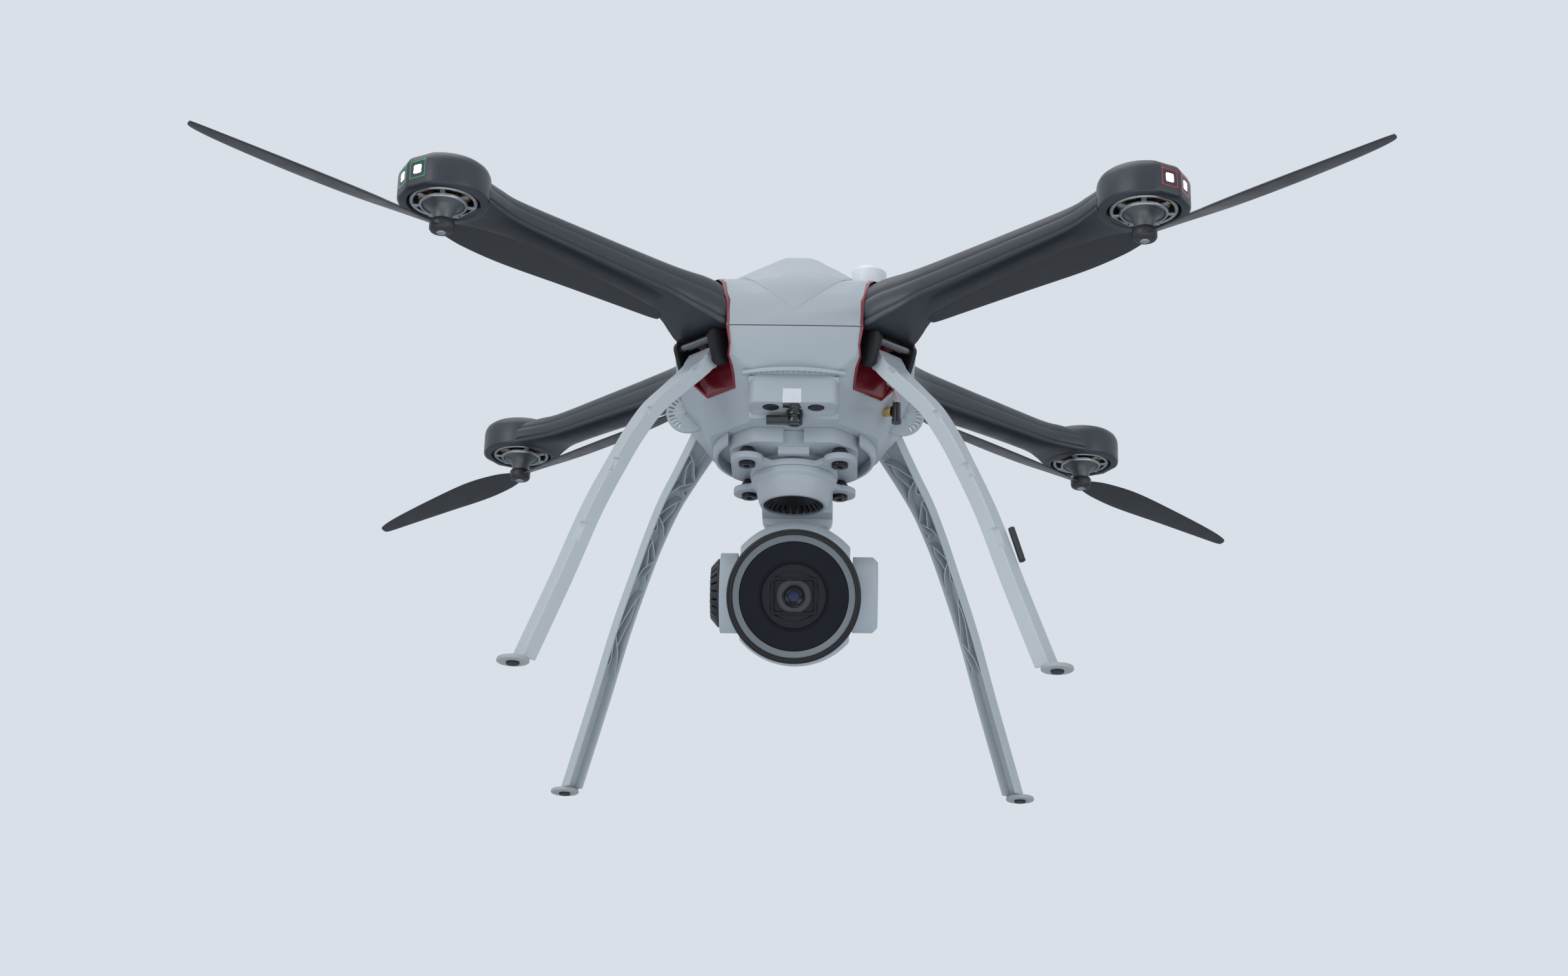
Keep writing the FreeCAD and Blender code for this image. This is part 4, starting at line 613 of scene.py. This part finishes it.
ball.turned([(40.6, 19.0), (44.0, 30.0), (44.3, 31.0), (44.3, 42.8), (30.0, 42.8), (30.0, 19.0)],
            LOOKING, looped=True, steps=96)
ball.piece("camera_ball", gimbal_plastic, "camera_housing", crease=28.0)

# each ring's profile is its radius about the lens axis and its distance out along that axis
cone_grey = moulded("cone_grey", (0.185, 0.212, 0.230), 0.50)
Form().turned([(41.9, 43.0), (41.9, 49.8), (41.2, 50.0), (37.5, 47.3), (37.5, 43.0)], LOOKING,
              looped=True, steps=96).piece("bezel_cone", cone_grey, "camera_housing")
bezel_black = moulded("bezel_black", (0.012, 0.012, 0.014), 0.32, grain=0.00001,
                      Specular_IOR_Level=0.35)
BEZEL, BEZEL_FRONT, GROOVE, GROOVE_STEP, GROOVE_STEPS = 45.8, 50.0, 0.5, 0.55, 14
grooves = [(BEZEL - (GROOVE if step % 4 in (2, 3) else 0.0), BEZEL_FRONT - step * GROOVE_STEP)
           for step in range(GROOVE_STEPS)]
Form().turned([(42.05, 42.6), (42.05, 51.0), (42.5, 51.8), (43.4, 51.95), (43.6, 51.4),
               (44.3, 51.4), (44.5, 51.95), (45.3, 51.7), (BEZEL, 51.0)] + grooves
              + [(BEZEL, 42.2), (44.5, 42.2)], LOOKING, looped=True,
              steps=120).piece("lens_bezel", bezel_black, "lens_ring", crease=40.0)

plate_black = moulded("plate_black", (0.0090, 0.0110, 0.0165), 0.50, spread=0.10,
                      Specular_IOR_Level=0.12)
Form().turned([(37.3, 44.0), (37.3, 46.7), (36.9, 47.0), (24.2, 47.0), (24.0, 46.6), (23.6, 46.6),
               (23.4, 46.9), (23.0, 46.9), (22.7, 46.4), (22.4, 46.4), (22.4, 44.0)], LOOKING,
              looped=True, steps=96).piece("camera_front", plate_black, "front_plate", crease=30.0)
mount_black = moulded("mount_black", (0.0150, 0.0165, 0.0205), 0.44, spread=0.10,
                      Specular_IOR_Level=0.16)
mount = Form().turned([(0.0, 40.0), (22.35, 40.0), (22.35, 45.2), (21.9, 45.5), (17.0, 45.5),
                       (17.0, 44.0), (0.0, 44.0)], LOOKING)
mount.rings([rounded_frame(x, y, corner, LOOKING, level) for x, y, corner, level in (
    (15.6, 12.7, 1.6, 44.0), (15.6, 12.7, 1.6, 46.0), (15.2, 12.3, 1.4, 46.3), (14.3, 11.4, 1.2, 46.3),
    (13.8, 10.9, 1.0, 45.9), (13.4, 10.5, 0.8, 44.2))], capped=False)
mount.rings([rounded_frame(x, y, corner, LOOKING, level) for x, y, corner, level in (
    (17.4, 17.4, 17.3, 45.5), (15.6, 12.7, 1.6, 45.5))], capped=False)
mount.piece("lens_mount", mount_black, "lens_block", crease=30.0)
ring_grey = moulded("ring_grey", (0.026, 0.031, 0.036), 0.40)
Form().turned([(11.9, 43.8), (11.9, 44.7), (11.6, 44.9), (11.2, 44.9), (11.0, 44.6), (9.6, 44.5),
               (8.0, 45.0), (7.8, 43.8)], LOOKING, looped=True).piece(
                   "lens_ring_grey", ring_grey, "lens_block", crease=30.0)
# The lens is dark, and its blue colour is painted reflection: the blue glint of the lens's coating is
# painted into its colour.
lens_glass = bare("lens_glass", 30.0, 1.0, (0.006, 0.013, 0.060), (0.010, 0.024, 0.100),
                  (0.03, 0.07), Specular_IOR_Level=0.30)
Form().turned([(0.0, 44.6), (2.2, 44.5), (3.6, 44.2), (3.7, 43.4), (0.0, 43.4)], LOOKING).piece(
    "lens_glass", lens_glass, "lens_block")
barrel_gloss = moulded("barrel_gloss", (0.006, 0.006, 0.008), 0.28, grain=0.00001,
                       Specular_IOR_Level=0.3)
Form().turned([(7.9, 43.2), (7.9, 45.6), (7.4, 45.9), (6.9, 45.6), (6.2, 44.9), (5.9, 45.1),
               (5.4, 44.8), (4.6, 44.5), (4.3, 44.7), (3.8, 44.4), (3.8, 43.2)], LOOKING,
              looped=True).piece("lens_barrel", barrel_gloss, "lens_block", crease=30.0)

# ---------------------------------------- arms
# Each arm is one charcoal moulding that droops from its socket and swells into the motor pod.
# Shallow grooves run along its sides, and a flat flange runs along its underside.

# name, heading in degrees, and the hand of the propeller
CORNERS = (("front_right", 225.0, -1), ("front_left", 315.0, 1),
           ("rear_left", 45.0, -1), ("rear_right", 135.0, 1))
MOTOR_REACH = 318.2
POD_RADIUS, LAMP_REACH, LAMP_TURN, LAMP_SPREAD = 30.0, 28.6, 16.0, 60.0
POD_LOW, POD_TOP, POCKET_RADIUS, POCKET_TOP, POD_STEPS = 291.0, 316.5, 23.6, 312.6, 72


def curved(rows, steps):
    """Rows of numbers, read at so many steps per span of a smooth curve through them."""
    read = []
    for index in range(len(rows) - 1):
        knots = [rows[min(max(index + move, 0), len(rows) - 1)] for move in (-1, 0, 1, 2)]
        for step in range(steps):
            t = step / steps
            read.append(tuple(0.5 * (2 * b + (c - a) * t + (2 * a - 5 * b + 4 * c - d) * t * t
                                     + (3 * b - a - 3 * c + d) * t ** 3)
                              for a, b, c, d in zip(*knots)))
    return read + [tuple(rows[-1])]


# reach, half width, top, lower edge, keel
ARM_ROWS = (
    (88.0, 24.4, 310.5, 273.2, 273.2), (96.0, 23.9, 311.7, 273.7, 272.8),
    (104.0, 21.5, 312.4, 276.6, 275.4), (115.0, 17.5, 312.4, 280.8, 279.4),
    (130.0, 14.3, 312.4, 285.3, 283.9), (158.0, 13.1, 312.4, 287.1, 285.5),
    (210.0, 12.5, 312.4, 289.7, 288.1), (262.2, 12.9, 312.5, 291.6, 290.4),
    (282.2, 16.9, 313.5, 291.9, 291.3), (298.2, 22.8, 313.8, 291.7, 291.3),
)
# up one side of an arm: share of the half width, share of the height over the lower edge
ARM_SIDE = (
    (0.97, 0.0), (1.0, 0.03), (1.0, 0.105), (0.965, 0.125), (0.955, 0.150), (0.985, 0.175),
    (0.995, 0.28), (0.985, 0.40), (0.955, 0.50), (0.925, 0.545), (0.895, 0.56), (0.900, 0.60),
    (0.860, 0.70), (0.790, 0.80), (0.690, 0.88), (0.560, 0.935), (0.400, 0.975), (0.200, 0.995),
)
# below it, shares of the half width for the keel and the lower edge, and the edge's drop to the keel
KEEL_SHARE, EDGE_SHARE, EDGE_DROP = 0.45, 0.86, 0.35
arm_rings = []
for reach, half, top, edge, keel in curved(ARM_ROWS, 7):
    tall = top - edge
    side = [(half * EDGE_SHARE, edge + EDGE_DROP * (keel - edge))]
    side += [(half * across, edge + tall * up) for across, up in ARM_SIDE]
    ring = [(0.0, keel), (half * KEEL_SHARE, keel)] + side
    ring += [(0.0, top)] + [(-t, z) for t, z in reversed(ring[1:])]
    arm_rings.append([Vector((reach, t, z)) for t, z in ring])


def pod_ring(inset, level):
    """The pod from above: round, with two lamp flats that meet at its tip."""
    points = []
    for step in range(POD_STEPS):
        turn = (360.0 * step / POD_STEPS + 180) % 360 - 180
        reach = POD_RADIUS
        if abs(turn) < LAMP_SPREAD:
            reach = min(reach, LAMP_REACH / math.cos(math.radians(abs(turn) - LAMP_TURN)))
        reach -= inset
        points.append(Vector((MOTOR_REACH + reach * math.cos(math.radians(turn)),
                              reach * math.sin(math.radians(turn)), level)))
    return points


def round_ring(radius, level):
    """A round ring about the motor's axis."""
    spokes = [2 * math.pi * step / POD_STEPS for step in range(POD_STEPS)]
    return [Vector((MOTOR_REACH + radius * math.cos(spoke), radius * math.sin(spoke), level))
            for spoke in spokes]


pod_rings = [round_ring(POCKET_RADIUS, POCKET_TOP), round_ring(POCKET_RADIUS, POD_LOW + 1.0),
             round_ring(POCKET_RADIUS + 0.5, POD_LOW + 0.1)]
pod_rings += [pod_ring(inset, level) for inset, level in (
    (2.4, POD_LOW + 0.1), (1.0, POD_LOW + 0.5), (0.2, POD_LOW + 1.4), (0.0, POD_LOW + 2.6),
    (0.0, POD_TOP - 8.4), (0.5, POD_TOP - 6.0), (1.8, POD_TOP - 3.4), (4.2, POD_TOP - 1.4),
    (7.6, POD_TOP - 0.3), (11.0, POD_TOP), (24.0, POD_TOP))]
arm_charcoal = moulded("arm_charcoal", (0.030, 0.036, 0.046), 0.38, grain=0.00005, spread=0.10)

for corner, heading, _ in CORNERS:
    Form().rings(arm_rings).rings(pod_rings).piece(
        f"arm_{corner}", arm_charcoal, f"arm_shell_{corner}", crease=42.0, degrees=heading)

# ---------------------------------------- motors
# Twelve varnished copper coils round a dark steel core show between the bell's alloy rings,
# which seven spokes join. Its grey hub narrows to the stud that carries the propeller.
ring_alloy = bare("ring_alloy", 700.0, 3.0, (0.34, 0.36, 0.37), (0.46, 0.48, 0.49), (0.30, 0.44),
                  Metallic=0.85)
hub_grey = moulded("hub_grey", (0.115, 0.125, 0.130), 0.42, Metallic=0.4)
core_steel = moulded("core_steel", (0.030, 0.031, 0.033), 0.45, Metallic=0.7)
coil_copper = bare("coil_copper", 500.0, 3.0, (0.42, 0.20, 0.10), (0.62, 0.34, 0.18), (0.24, 0.40),
                   Metallic=0.9)
AXLE = Matrix.Translation((MOTOR_REACH, 0, 0))


def ring_nodes():
    """A node group that repeats its geometry about the Z axis."""
    group = bpy.data.node_groups.new("ring_of_copies", "GeometryNodeTree")
    face = group.interface
    for name, kind in (("Geometry", "Geometry"), ("Count", "Int"), ("Step", "Float"),
                       ("Start", "Float"), ("Material", "Material")):
        face.new_socket(name, in_out="INPUT", socket_type="NodeSocket" + kind)
    face.new_socket("Geometry", in_out="OUTPUT", socket_type="NodeSocketGeometry")
    add = group.nodes.new
    taken, given = add("NodeGroupInput"), add("NodeGroupOutput")
    spots, copies = add("GeometryNodeMeshLine"), add("GeometryNodeInstanceOnPoints")
    number, turn = add("GeometryNodeInputIndex"), add("ShaderNodeMath")
    angle = add("ShaderNodeCombineXYZ")
    real, painted = add("GeometryNodeRealizeInstances"), add("GeometryNodeSetMaterial")
    spots.inputs["Offset"].default_value = (0, 0, 0)
    turn.operation = "MULTIPLY_ADD"
    for start, end in (
        (taken.outputs["Count"], spots.inputs["Count"]),
        (spots.outputs["Mesh"], copies.inputs["Points"]),
        (taken.outputs["Geometry"], copies.inputs["Instance"]),
        (number.outputs[0], turn.inputs[0]), (taken.outputs["Step"], turn.inputs[1]),
        (taken.outputs["Start"], turn.inputs[2]), (turn.outputs[0], angle.inputs["Z"]),
        (angle.outputs[0], copies.inputs["Rotation"]),
        (copies.outputs["Instances"], real.inputs["Geometry"]),
        (real.outputs["Geometry"], painted.inputs["Geometry"]),
        (taken.outputs["Material"], painted.inputs["Material"]),
        (painted.outputs["Geometry"], given.inputs["Geometry"]),
    ):
        group.links.new(start, end)
    return group


RING_NODES = ring_nodes()


def ringed(form, count, step, start, finish, name):
    """A form drawn beside the Z axis, repeated about it by the node group, as a mesh."""
    bmesh.ops.recalc_face_normals(form.mesh, faces=form.mesh.faces)
    seed = bpy.data.meshes.new(name)
    form.mesh.to_mesh(seed)
    form.mesh.free()
    holder = bpy.data.objects.new(name, seed)
    scene.collection.objects.link(holder)
    modifier = holder.modifiers.new(name, "NODES")
    modifier.node_group = RING_NODES
    values = {"Count": count, "Step": math.radians(step), "Start": math.radians(start),
              "Material": finish.material}
    for item in RING_NODES.interface.items_tree:
        if item.in_out == "INPUT" and item.name in values:
            modifier[item.identifier] = values[item.name]
    bpy.context.view_layer.update()
    depsgraph = bpy.context.evaluated_depsgraph_get()
    mesh = bpy.data.meshes.new_from_object(holder.evaluated_get(depsgraph))
    holder.modifiers.clear()
    bpy.data.objects.remove(holder)
    bpy.data.meshes.remove(seed)
    return mesh


def added(form, mesh, place):
    """Adds a finished mesh to a form, moved to its place."""
    mesh.transform(place)
    form.mesh.from_mesh(mesh)
    bpy.data.meshes.remove(mesh)
    return form


# one wound tooth, a rounded copper lump between the core and the bell: reach, half width, half height
TOOTH_ROWS = ((8.6, 4.6, 1.7), (9.4, 5.2, 2.0), (13.0, 5.4, 2.7), (16.6, 5.4, 3.5), (17.4, 4.9, 3.2))
TEETH, TOOTH_CORNER, TOOTH_LEVEL = 12, 1.4, 301.5
tooth = Form().rings([rounded_frame(across, tall, TOOTH_CORNER, Matrix.Translation(
    (reach, 0, TOOTH_LEVEL)) @ turn_by(90, "Y"), 0.0)[::-1] for reach, across, tall in TOOTH_ROWS])
coils = ringed(tooth, TEETH, 360.0 / TEETH, 0.0, coil_copper, "coils")
SPOKES, SPOKE_LEVEL, SPOKE_ENDS = 7, 291.4, (14.8, 20.6)
spoke = Form().rings([rounded_frame(1.6, 0.8, 0.5, Matrix.Translation(
    (reach, 0, SPOKE_LEVEL)) @ turn_by(90, "Y") @ turn_by(90, "Z"), 0.0) for reach in SPOKE_ENDS])
spokes = ringed(spoke, SPOKES, 360.0 / SPOKES, 0.0, ring_alloy, "spokes")

# radius and level round each turned piece
CORE = ((2.3, 297.6), (8.4, 297.6), (8.4, 308.6), (6.5, 308.9), (6.5, 310.6), (20.6, 310.6),
        (20.6, 312.4), (2.3, 312.4))
BELL = ((19.8, 293.0), (19.6, 292.0), (20.2, 291.5), (21.4, 291.5), (22.0, 292.1), (22.0, 308.7),
        (20.4, 308.7), (20.4, 293.6))
INNER_RING = ((13.7, 290.2), (14.2, 289.4), (15.2, 289.3), (15.7, 289.9), (15.7, 291.6), (13.7, 292.2))
HUB = ((0.0, 292.4), (13.8, 292.0), (13.8, 290.6), (12.6, 289.6), (10.4, 288.6), (8.8, 287.2),
       (7.6, 285.0), (6.7, 282.4), (6.1, 279.3), (0.0, 279.3))
STUD = ((0.0, 270.1), (2.5, 270.1), (3.2, 270.7), (3.2, 279.3), (0.0, 279.3))

for corner, heading, _ in CORNERS:
    stator, motor_bell = f"motor_stator_{corner}", f"motor_bell_{corner}"
    Form().turned(CORE, AXLE, looped=True).piece(
        f"stator_core_{corner}", core_steel, stator, degrees=heading)
    added(Form(), coils.copy(), AXLE).piece(
        f"stator_coils_{corner}", coil_copper, stator, degrees=heading)
    bell = Form().turned(BELL, AXLE, looped=True, steps=72)
    bell.turned(INNER_RING, AXLE, looped=True, steps=72)
    added(bell, spokes.copy(), AXLE).piece(
        f"bell_rings_{corner}", ring_alloy, motor_bell, crease=40.0, degrees=heading)
    Form().turned(HUB, AXLE).piece(
        f"bell_hub_{corner}", hub_grey, motor_bell, crease=40.0, degrees=heading)
    Form().turned(STUD, AXLE, steps=32).piece(
        f"bell_stud_{corner}", ring_alloy, motor_bell, degrees=heading)
for spare in (coils, spokes):
    bpy.data.meshes.remove(spare)

# ---------------------------------------- propellers
# Each propeller is one thin cambered carbon-filled moulding, left-handed or right-handed in
# turn round the machine. A rounded cap holds its two blades under the hub.
blade_black = moulded("blade_black", (0.022, 0.024, 0.028), 0.42)
# distance along the blade, share of the chord, pitch in degrees, sweep of the quarter chord
BLADE_ROWS = ((7.0, 0.50, 24.0, 0.0), (24.0, 0.78, 22.0, 0.6), (58.0, 1.0, 17.0, 1.2),
              (110.0, 0.86, 12.0, 0.8), (160.0, 0.62, 9.0, -0.6), (184.0, 0.40, 7.6, -2.4),
              (189.8, 0.16, 7.0, -4.2))
# share of the chord across the blade, and height there as a share of the chord
BLADE_SIDE = ((-0.50, 0.004), (-0.46, 0.034), (-0.36, 0.062), (-0.20, 0.078), (0.0, 0.078),
              (0.20, 0.060), (0.40, 0.026), (0.50, 0.004), (0.40, -0.008), (0.20, -0.014),
              (0.0, -0.018), (-0.25, -0.014), (-0.45, -0.012))
PROP_CHORD, PROP_LEVEL, TIP_SHARE, THICK_CHORD = 24.0, 275.0, 0.02, 11.0
CAP = ((3.3, 271.0), (5.6, 271.0), (7.2, 271.8), (8.1, 273.2), (8.15, 277.9), (7.4, 279.1), (3.3, 279.1))


def blade_rings(hand, turn):
    """One blade's sections from root to tip, twisted, swept and turned about the axle."""
    rings = []
    for reach, share, pitch, sweep in curved(BLADE_ROWS, 6):
        chord = PROP_CHORD * max(share, TIP_SHARE)
        angle = math.radians(pitch)
        ring = []
        for across, high in BLADE_SIDE:
            y = (across * chord + sweep) * hand
            z = high * max(chord, THICK_CHORD)
            ring.append(Vector((reach, y * math.cos(angle) - hand * z * math.sin(angle),
                                y * hand * math.sin(angle) + z * math.cos(angle) + PROP_LEVEL)))
        rings.append([AXLE @ (turn_by(turn, "Z") @ point) for point in ring])
    return rings


for corner, heading, hand in CORNERS:
    propeller = Form().turned(CAP, AXLE, looped=True, steps=48)
    for turn in (0.0, 180.0):
        propeller.rings(blade_rings(hand, turn))
    propeller.piece(f"propeller_blades_{corner}", blade_black, f"propeller_{corner}", crease=50.0,
                    degrees=heading)

# ---------------------------------------- lamps
# Two clear square windows in each pod's tip cover a lit lamp: green on the machine's right
# and red on its left. The lamp itself is so bright that it looks white.
LAMP_LEVEL = 303.4
# half width and distance out of each square step: the window, the glow round it, and the lamp
WINDOW_ROWS = ((6.4, 26.2), (6.4, 28.3), (6.1, 28.62), (5.5, 28.62), (5.3, 28.35))
GLOW_ROWS = ((5.2, 28.2), (5.2, 28.42), (5.0, 28.46))
SPARK_ROWS = ((3.2, 28.2), (3.2, 28.54), (2.8, 28.62))


def lit(name, colour, strength, coat):
    """A surface with a light behind it."""
    finish = Finish(name, Emission_Strength=strength, Roughness=0.15, Coat_Weight=coat)
    pattern = finish.part_of(finish.noise(260.0, 1.0), 0.35, 0.65)
    shade = finish.mix(pattern, tuple(part * 0.8 for part in colour), colour)
    return finish.wear("Base Color", shade).wear("Emission Color", shade)


green_lights = (lit("green_window", (0.0, 0.20, 0.075), 0.8, 0.6),
                lit("green_glow", (0.0, 0.72, 0.20), 1.2, 0.0),
                lit("green_spark", (0.62, 1.0, 0.74), 9.0, 0.0))
red_lights = (lit("red_window", (0.30, 0.005, 0.02), 0.8, 0.6),
              lit("red_glow", (0.90, 0.02, 0.07), 1.1, 0.0),
              lit("red_spark", (1.0, 0.60, 0.64), 9.0, 0.0))
for corner, heading, _ in CORNERS:
    lights = green_lights if corner.endswith("right") else red_lights
    for name, rows, round_off, finish in zip(("windows", "glows", "sparks"),
                                             (WINDOW_ROWS, GLOW_ROWS, SPARK_ROWS),
                                             (0.8, 1.4, 1.0), lights):
        form = Form()
        for turn in (-LAMP_TURN, LAMP_TURN):
            facing = (AXLE @ Matrix.Translation((0, 0, LAMP_LEVEL)) @ turn_by(turn, "Z")
                      @ turn_by(90, "Y"))
            form.rings([rounded_frame(side, side, round_off, facing, out) for side, out in rows])
        form.piece(f"lamp_{name}_{corner}", finish, f"arm_lamps_{corner}", degrees=heading)

# ---------------------------------------- legs
# A leg is a pale curved channel, open towards the body and stiffened by a zigzag of thin
# curved ribs. It grows from a block round its hinge pin; one leg carries a small dark antenna.

# reach, level and half width down the leg
LEG_ROWS = (
    (95.0, 256.5, 11.9), (101.6, 246.5, 11.3), (120.7, 226.5, 9.0), (138.0, 208.0, 7.6),
    (153.0, 186.0, 6.6), (166.0, 163.0, 6.0), (188.0, 120.0, 6.0), (210.0, 68.0, 6.0),
    (238.6, 3.5, 6.0),
)
LEG_DEPTH, LEG_FLARE, LEG_WALL = 9.9, 1.0, 1.4
leg_line = curved(LEG_ROWS, 7)
leg_frames = []
for index, (reach, level, half) in enumerate(leg_line):
    before, after = leg_line[max(index - 1, 0)], leg_line[min(index + 1, len(leg_line) - 1)]
    way = Vector((after[0] - before[0], 0, after[1] - before[1])).normalized()
    leg_frames.append((Vector((reach, 0, level)), Vector((-way.z, 0, way.x)), half))


def channel_ring(place, outward, half, dented=0):
    """The channel's section; a dent cuts one of its outer corners."""
    mouth = half + LEG_FLARE
    side = [(half - 0.9, 0.0), (half, 0.9), (mouth, LEG_DEPTH - 0.4), (mouth - 0.4, LEG_DEPTH),
            (mouth - LEG_WALL + 0.3, LEG_DEPTH), (mouth - LEG_WALL, LEG_DEPTH - 0.4),
            (half - LEG_WALL + 0.1, LEG_WALL + 0.8), (half - LEG_WALL - 0.7, LEG_WALL)]
    cut_side = [(half - 4.0, 0.0), (half, 2.6)] + side[2:]
    ring = cut_side if dented > 0 else side
    ring = ring + [(-across, deep) for across, deep in reversed(cut_side if dented < 0 else side)]
    return [place - outward * deep + Vector((0, across, 0)) for across, deep in ring]


# stations down the leg at which a dent lies
DENTS = (8, 23, 36, 44)


def leg_rings(flank):
    """The channel from root to foot, with four short dents along one of its outer corners."""
    rings = []
    for index, place in enumerate(leg_frames):
        if index - 2 in DENTS:
            rings.append(channel_ring(*place, dented=flank))
        rings.append(channel_ring(*place, dented=flank * (index - 1 in DENTS)))
        if index in DENTS:
            rings.append(channel_ring(*place, dented=flank))
    return rings


def in_channel(share, across, deep):
    """A point in the channel: share along it, across from flank to flank, and how deep."""
    place = min(max(share, 0.0), 0.999) * (len(leg_frames) - 1)
    index = int(place)
    (near, near_out, near_half), (far, far_out, far_half) = leg_frames[index:index + 2]
    part = place - index
    half = near_half + (far_half - near_half) * part
    width = half + LEG_FLARE * deep / LEG_DEPTH - LEG_WALL * 0.6
    return near.lerp(far, part) - near_out.lerp(far_out, part) * deep + Vector((0, across * width, 0))


RIB_THICK, RIB_SUNK, RIB_SHORT, MID_DEPTH, LOW_DEPTH = 0.9, 0.7, 1.3, 5.0, 1.0


def rib_rings(points):
    """A thin wall across the channel's depth that follows (share, across) points."""
    rings = []
    for index, (share, across) in enumerate(points):
        before, after = points[max(index - 1, 0)], points[min(index + 1, len(points) - 1)]
        run = in_channel(*after, MID_DEPTH) - in_channel(*before, MID_DEPTH)
        up = in_channel(share, across, LOW_DEPTH) - in_channel(share, across, MID_DEPTH)
        normal = run.cross(up).normalized() * (RIB_THICK / 2)
        high = in_channel(share, across, LEG_WALL * RIB_SUNK)
        low = in_channel(share, across, LEG_DEPTH - RIB_SHORT)
        rings.append([high + normal, low + normal, low - normal, high - normal])
    return rings


# each rib as (share, across) knots within one bay of the zigzag
BAY_RIBS = (
    ((0.0, -1.0), (0.12, -0.35), (0.30, 0.25), (0.52, 1.0)),
    ((0.52, 1.0), (0.66, 0.15), (0.74, -0.30), (1.0, -1.0)),
    ((0.10, -0.45), (0.30, -0.55), (0.46, -0.25), (0.66, 0.15)),
    ((0.52, 1.0), (0.70, 0.72), (0.82, 0.45), (0.90, 0.95)),
)
BAYS, FIRST_BAY, LAST_BAY = 4, 0.17, 0.84
bay_span = (LAST_BAY - FIRST_BAY) / BAYS
FOOT_TOP, PIN_BOSS, PIN_PLACE = 4.25, ((5.5, -10.0), (5.5, 10.0)), Matrix.Translation((91.0, 0, 250.0))
leg_plastic = moulded("leg_plastic", (0.480, 0.525, 0.552), 0.44)

# the block at the root: its depths at the back and the front, and where it ends along the leg
ROOT_BACK, ROOT_FRONT, ROOT_ENDS = 0.3, 11.0, (-5.0, 4.0)
root_place, root_way, root_half = leg_frames[0]
root_along = root_way.cross(Vector((0, 1, 0)))
root_rings = [[root_place - root_way * deep + Vector((0, across * root_half, 0)) + root_along * reach
               for across, deep in ((-1, ROOT_BACK), (1, ROOT_BACK), (1, ROOT_FRONT), (-1, ROOT_FRONT))]
              for reach in ROOT_ENDS]

for corner, heading, hand in CORNERS:
    leg = Form().rings(leg_rings(-hand))
    leg.trimmed(Vector((0, 0, FOOT_TOP)), Vector((0, 0, -1)))
    for bay in range(BAYS):
        flip = 1 if bay % 2 else -1
        for knots in BAY_RIBS:
            leg.rings(rib_rings([(FIRST_BAY + bay_span * (bay + share), across * flip)
                                 for share, across in curved(knots, 4)]))
    leg.rings(root_rings)
    leg.turned(PIN_BOSS, PIN_PLACE @ turn_by(90, "X"), steps=32)
    leg.piece(f"leg_channel_{corner}", leg_plastic, f"leg_{corner}", crease=32.0, degrees=heading)
dressed("leg_antenna", mesh_black)

# ---------------------------------------- feet
# Each leg stands on a round moulded disc, pressed over the channel's end. A small dark rubber
# pad in its middle is what touches the ground.
foot_plastic = moulded("foot_plastic", (0.40, 0.425, 0.43), 0.55)
pad_rubber = moulded("pad_rubber", (0.020, 0.020, 0.021), 0.60, grain=0.00006)
FOOT_PLACE = Matrix.Translation((240.0, 0, 0))
DISC = ((0.0, 1.45), (9.7, 1.45), (10.3, 1.9), (10.45, 2.7), (10.0, 3.9), (9.4, 4.2), (0.0, 4.2))
PAD = ((0.0, 0.0), (3.9, 0.0), (4.2, 0.3), (4.2, 1.6), (0.0, 1.6))
for corner, heading, _ in CORNERS:
    for name, profile, finish in (("disc", DISC, foot_plastic), ("pad", PAD, pad_rubber)):
        Form().turned(profile, FOOT_PLACE).piece(
            f"foot_{name}_{corner}", finish, f"foot_{corner}", degrees=heading)
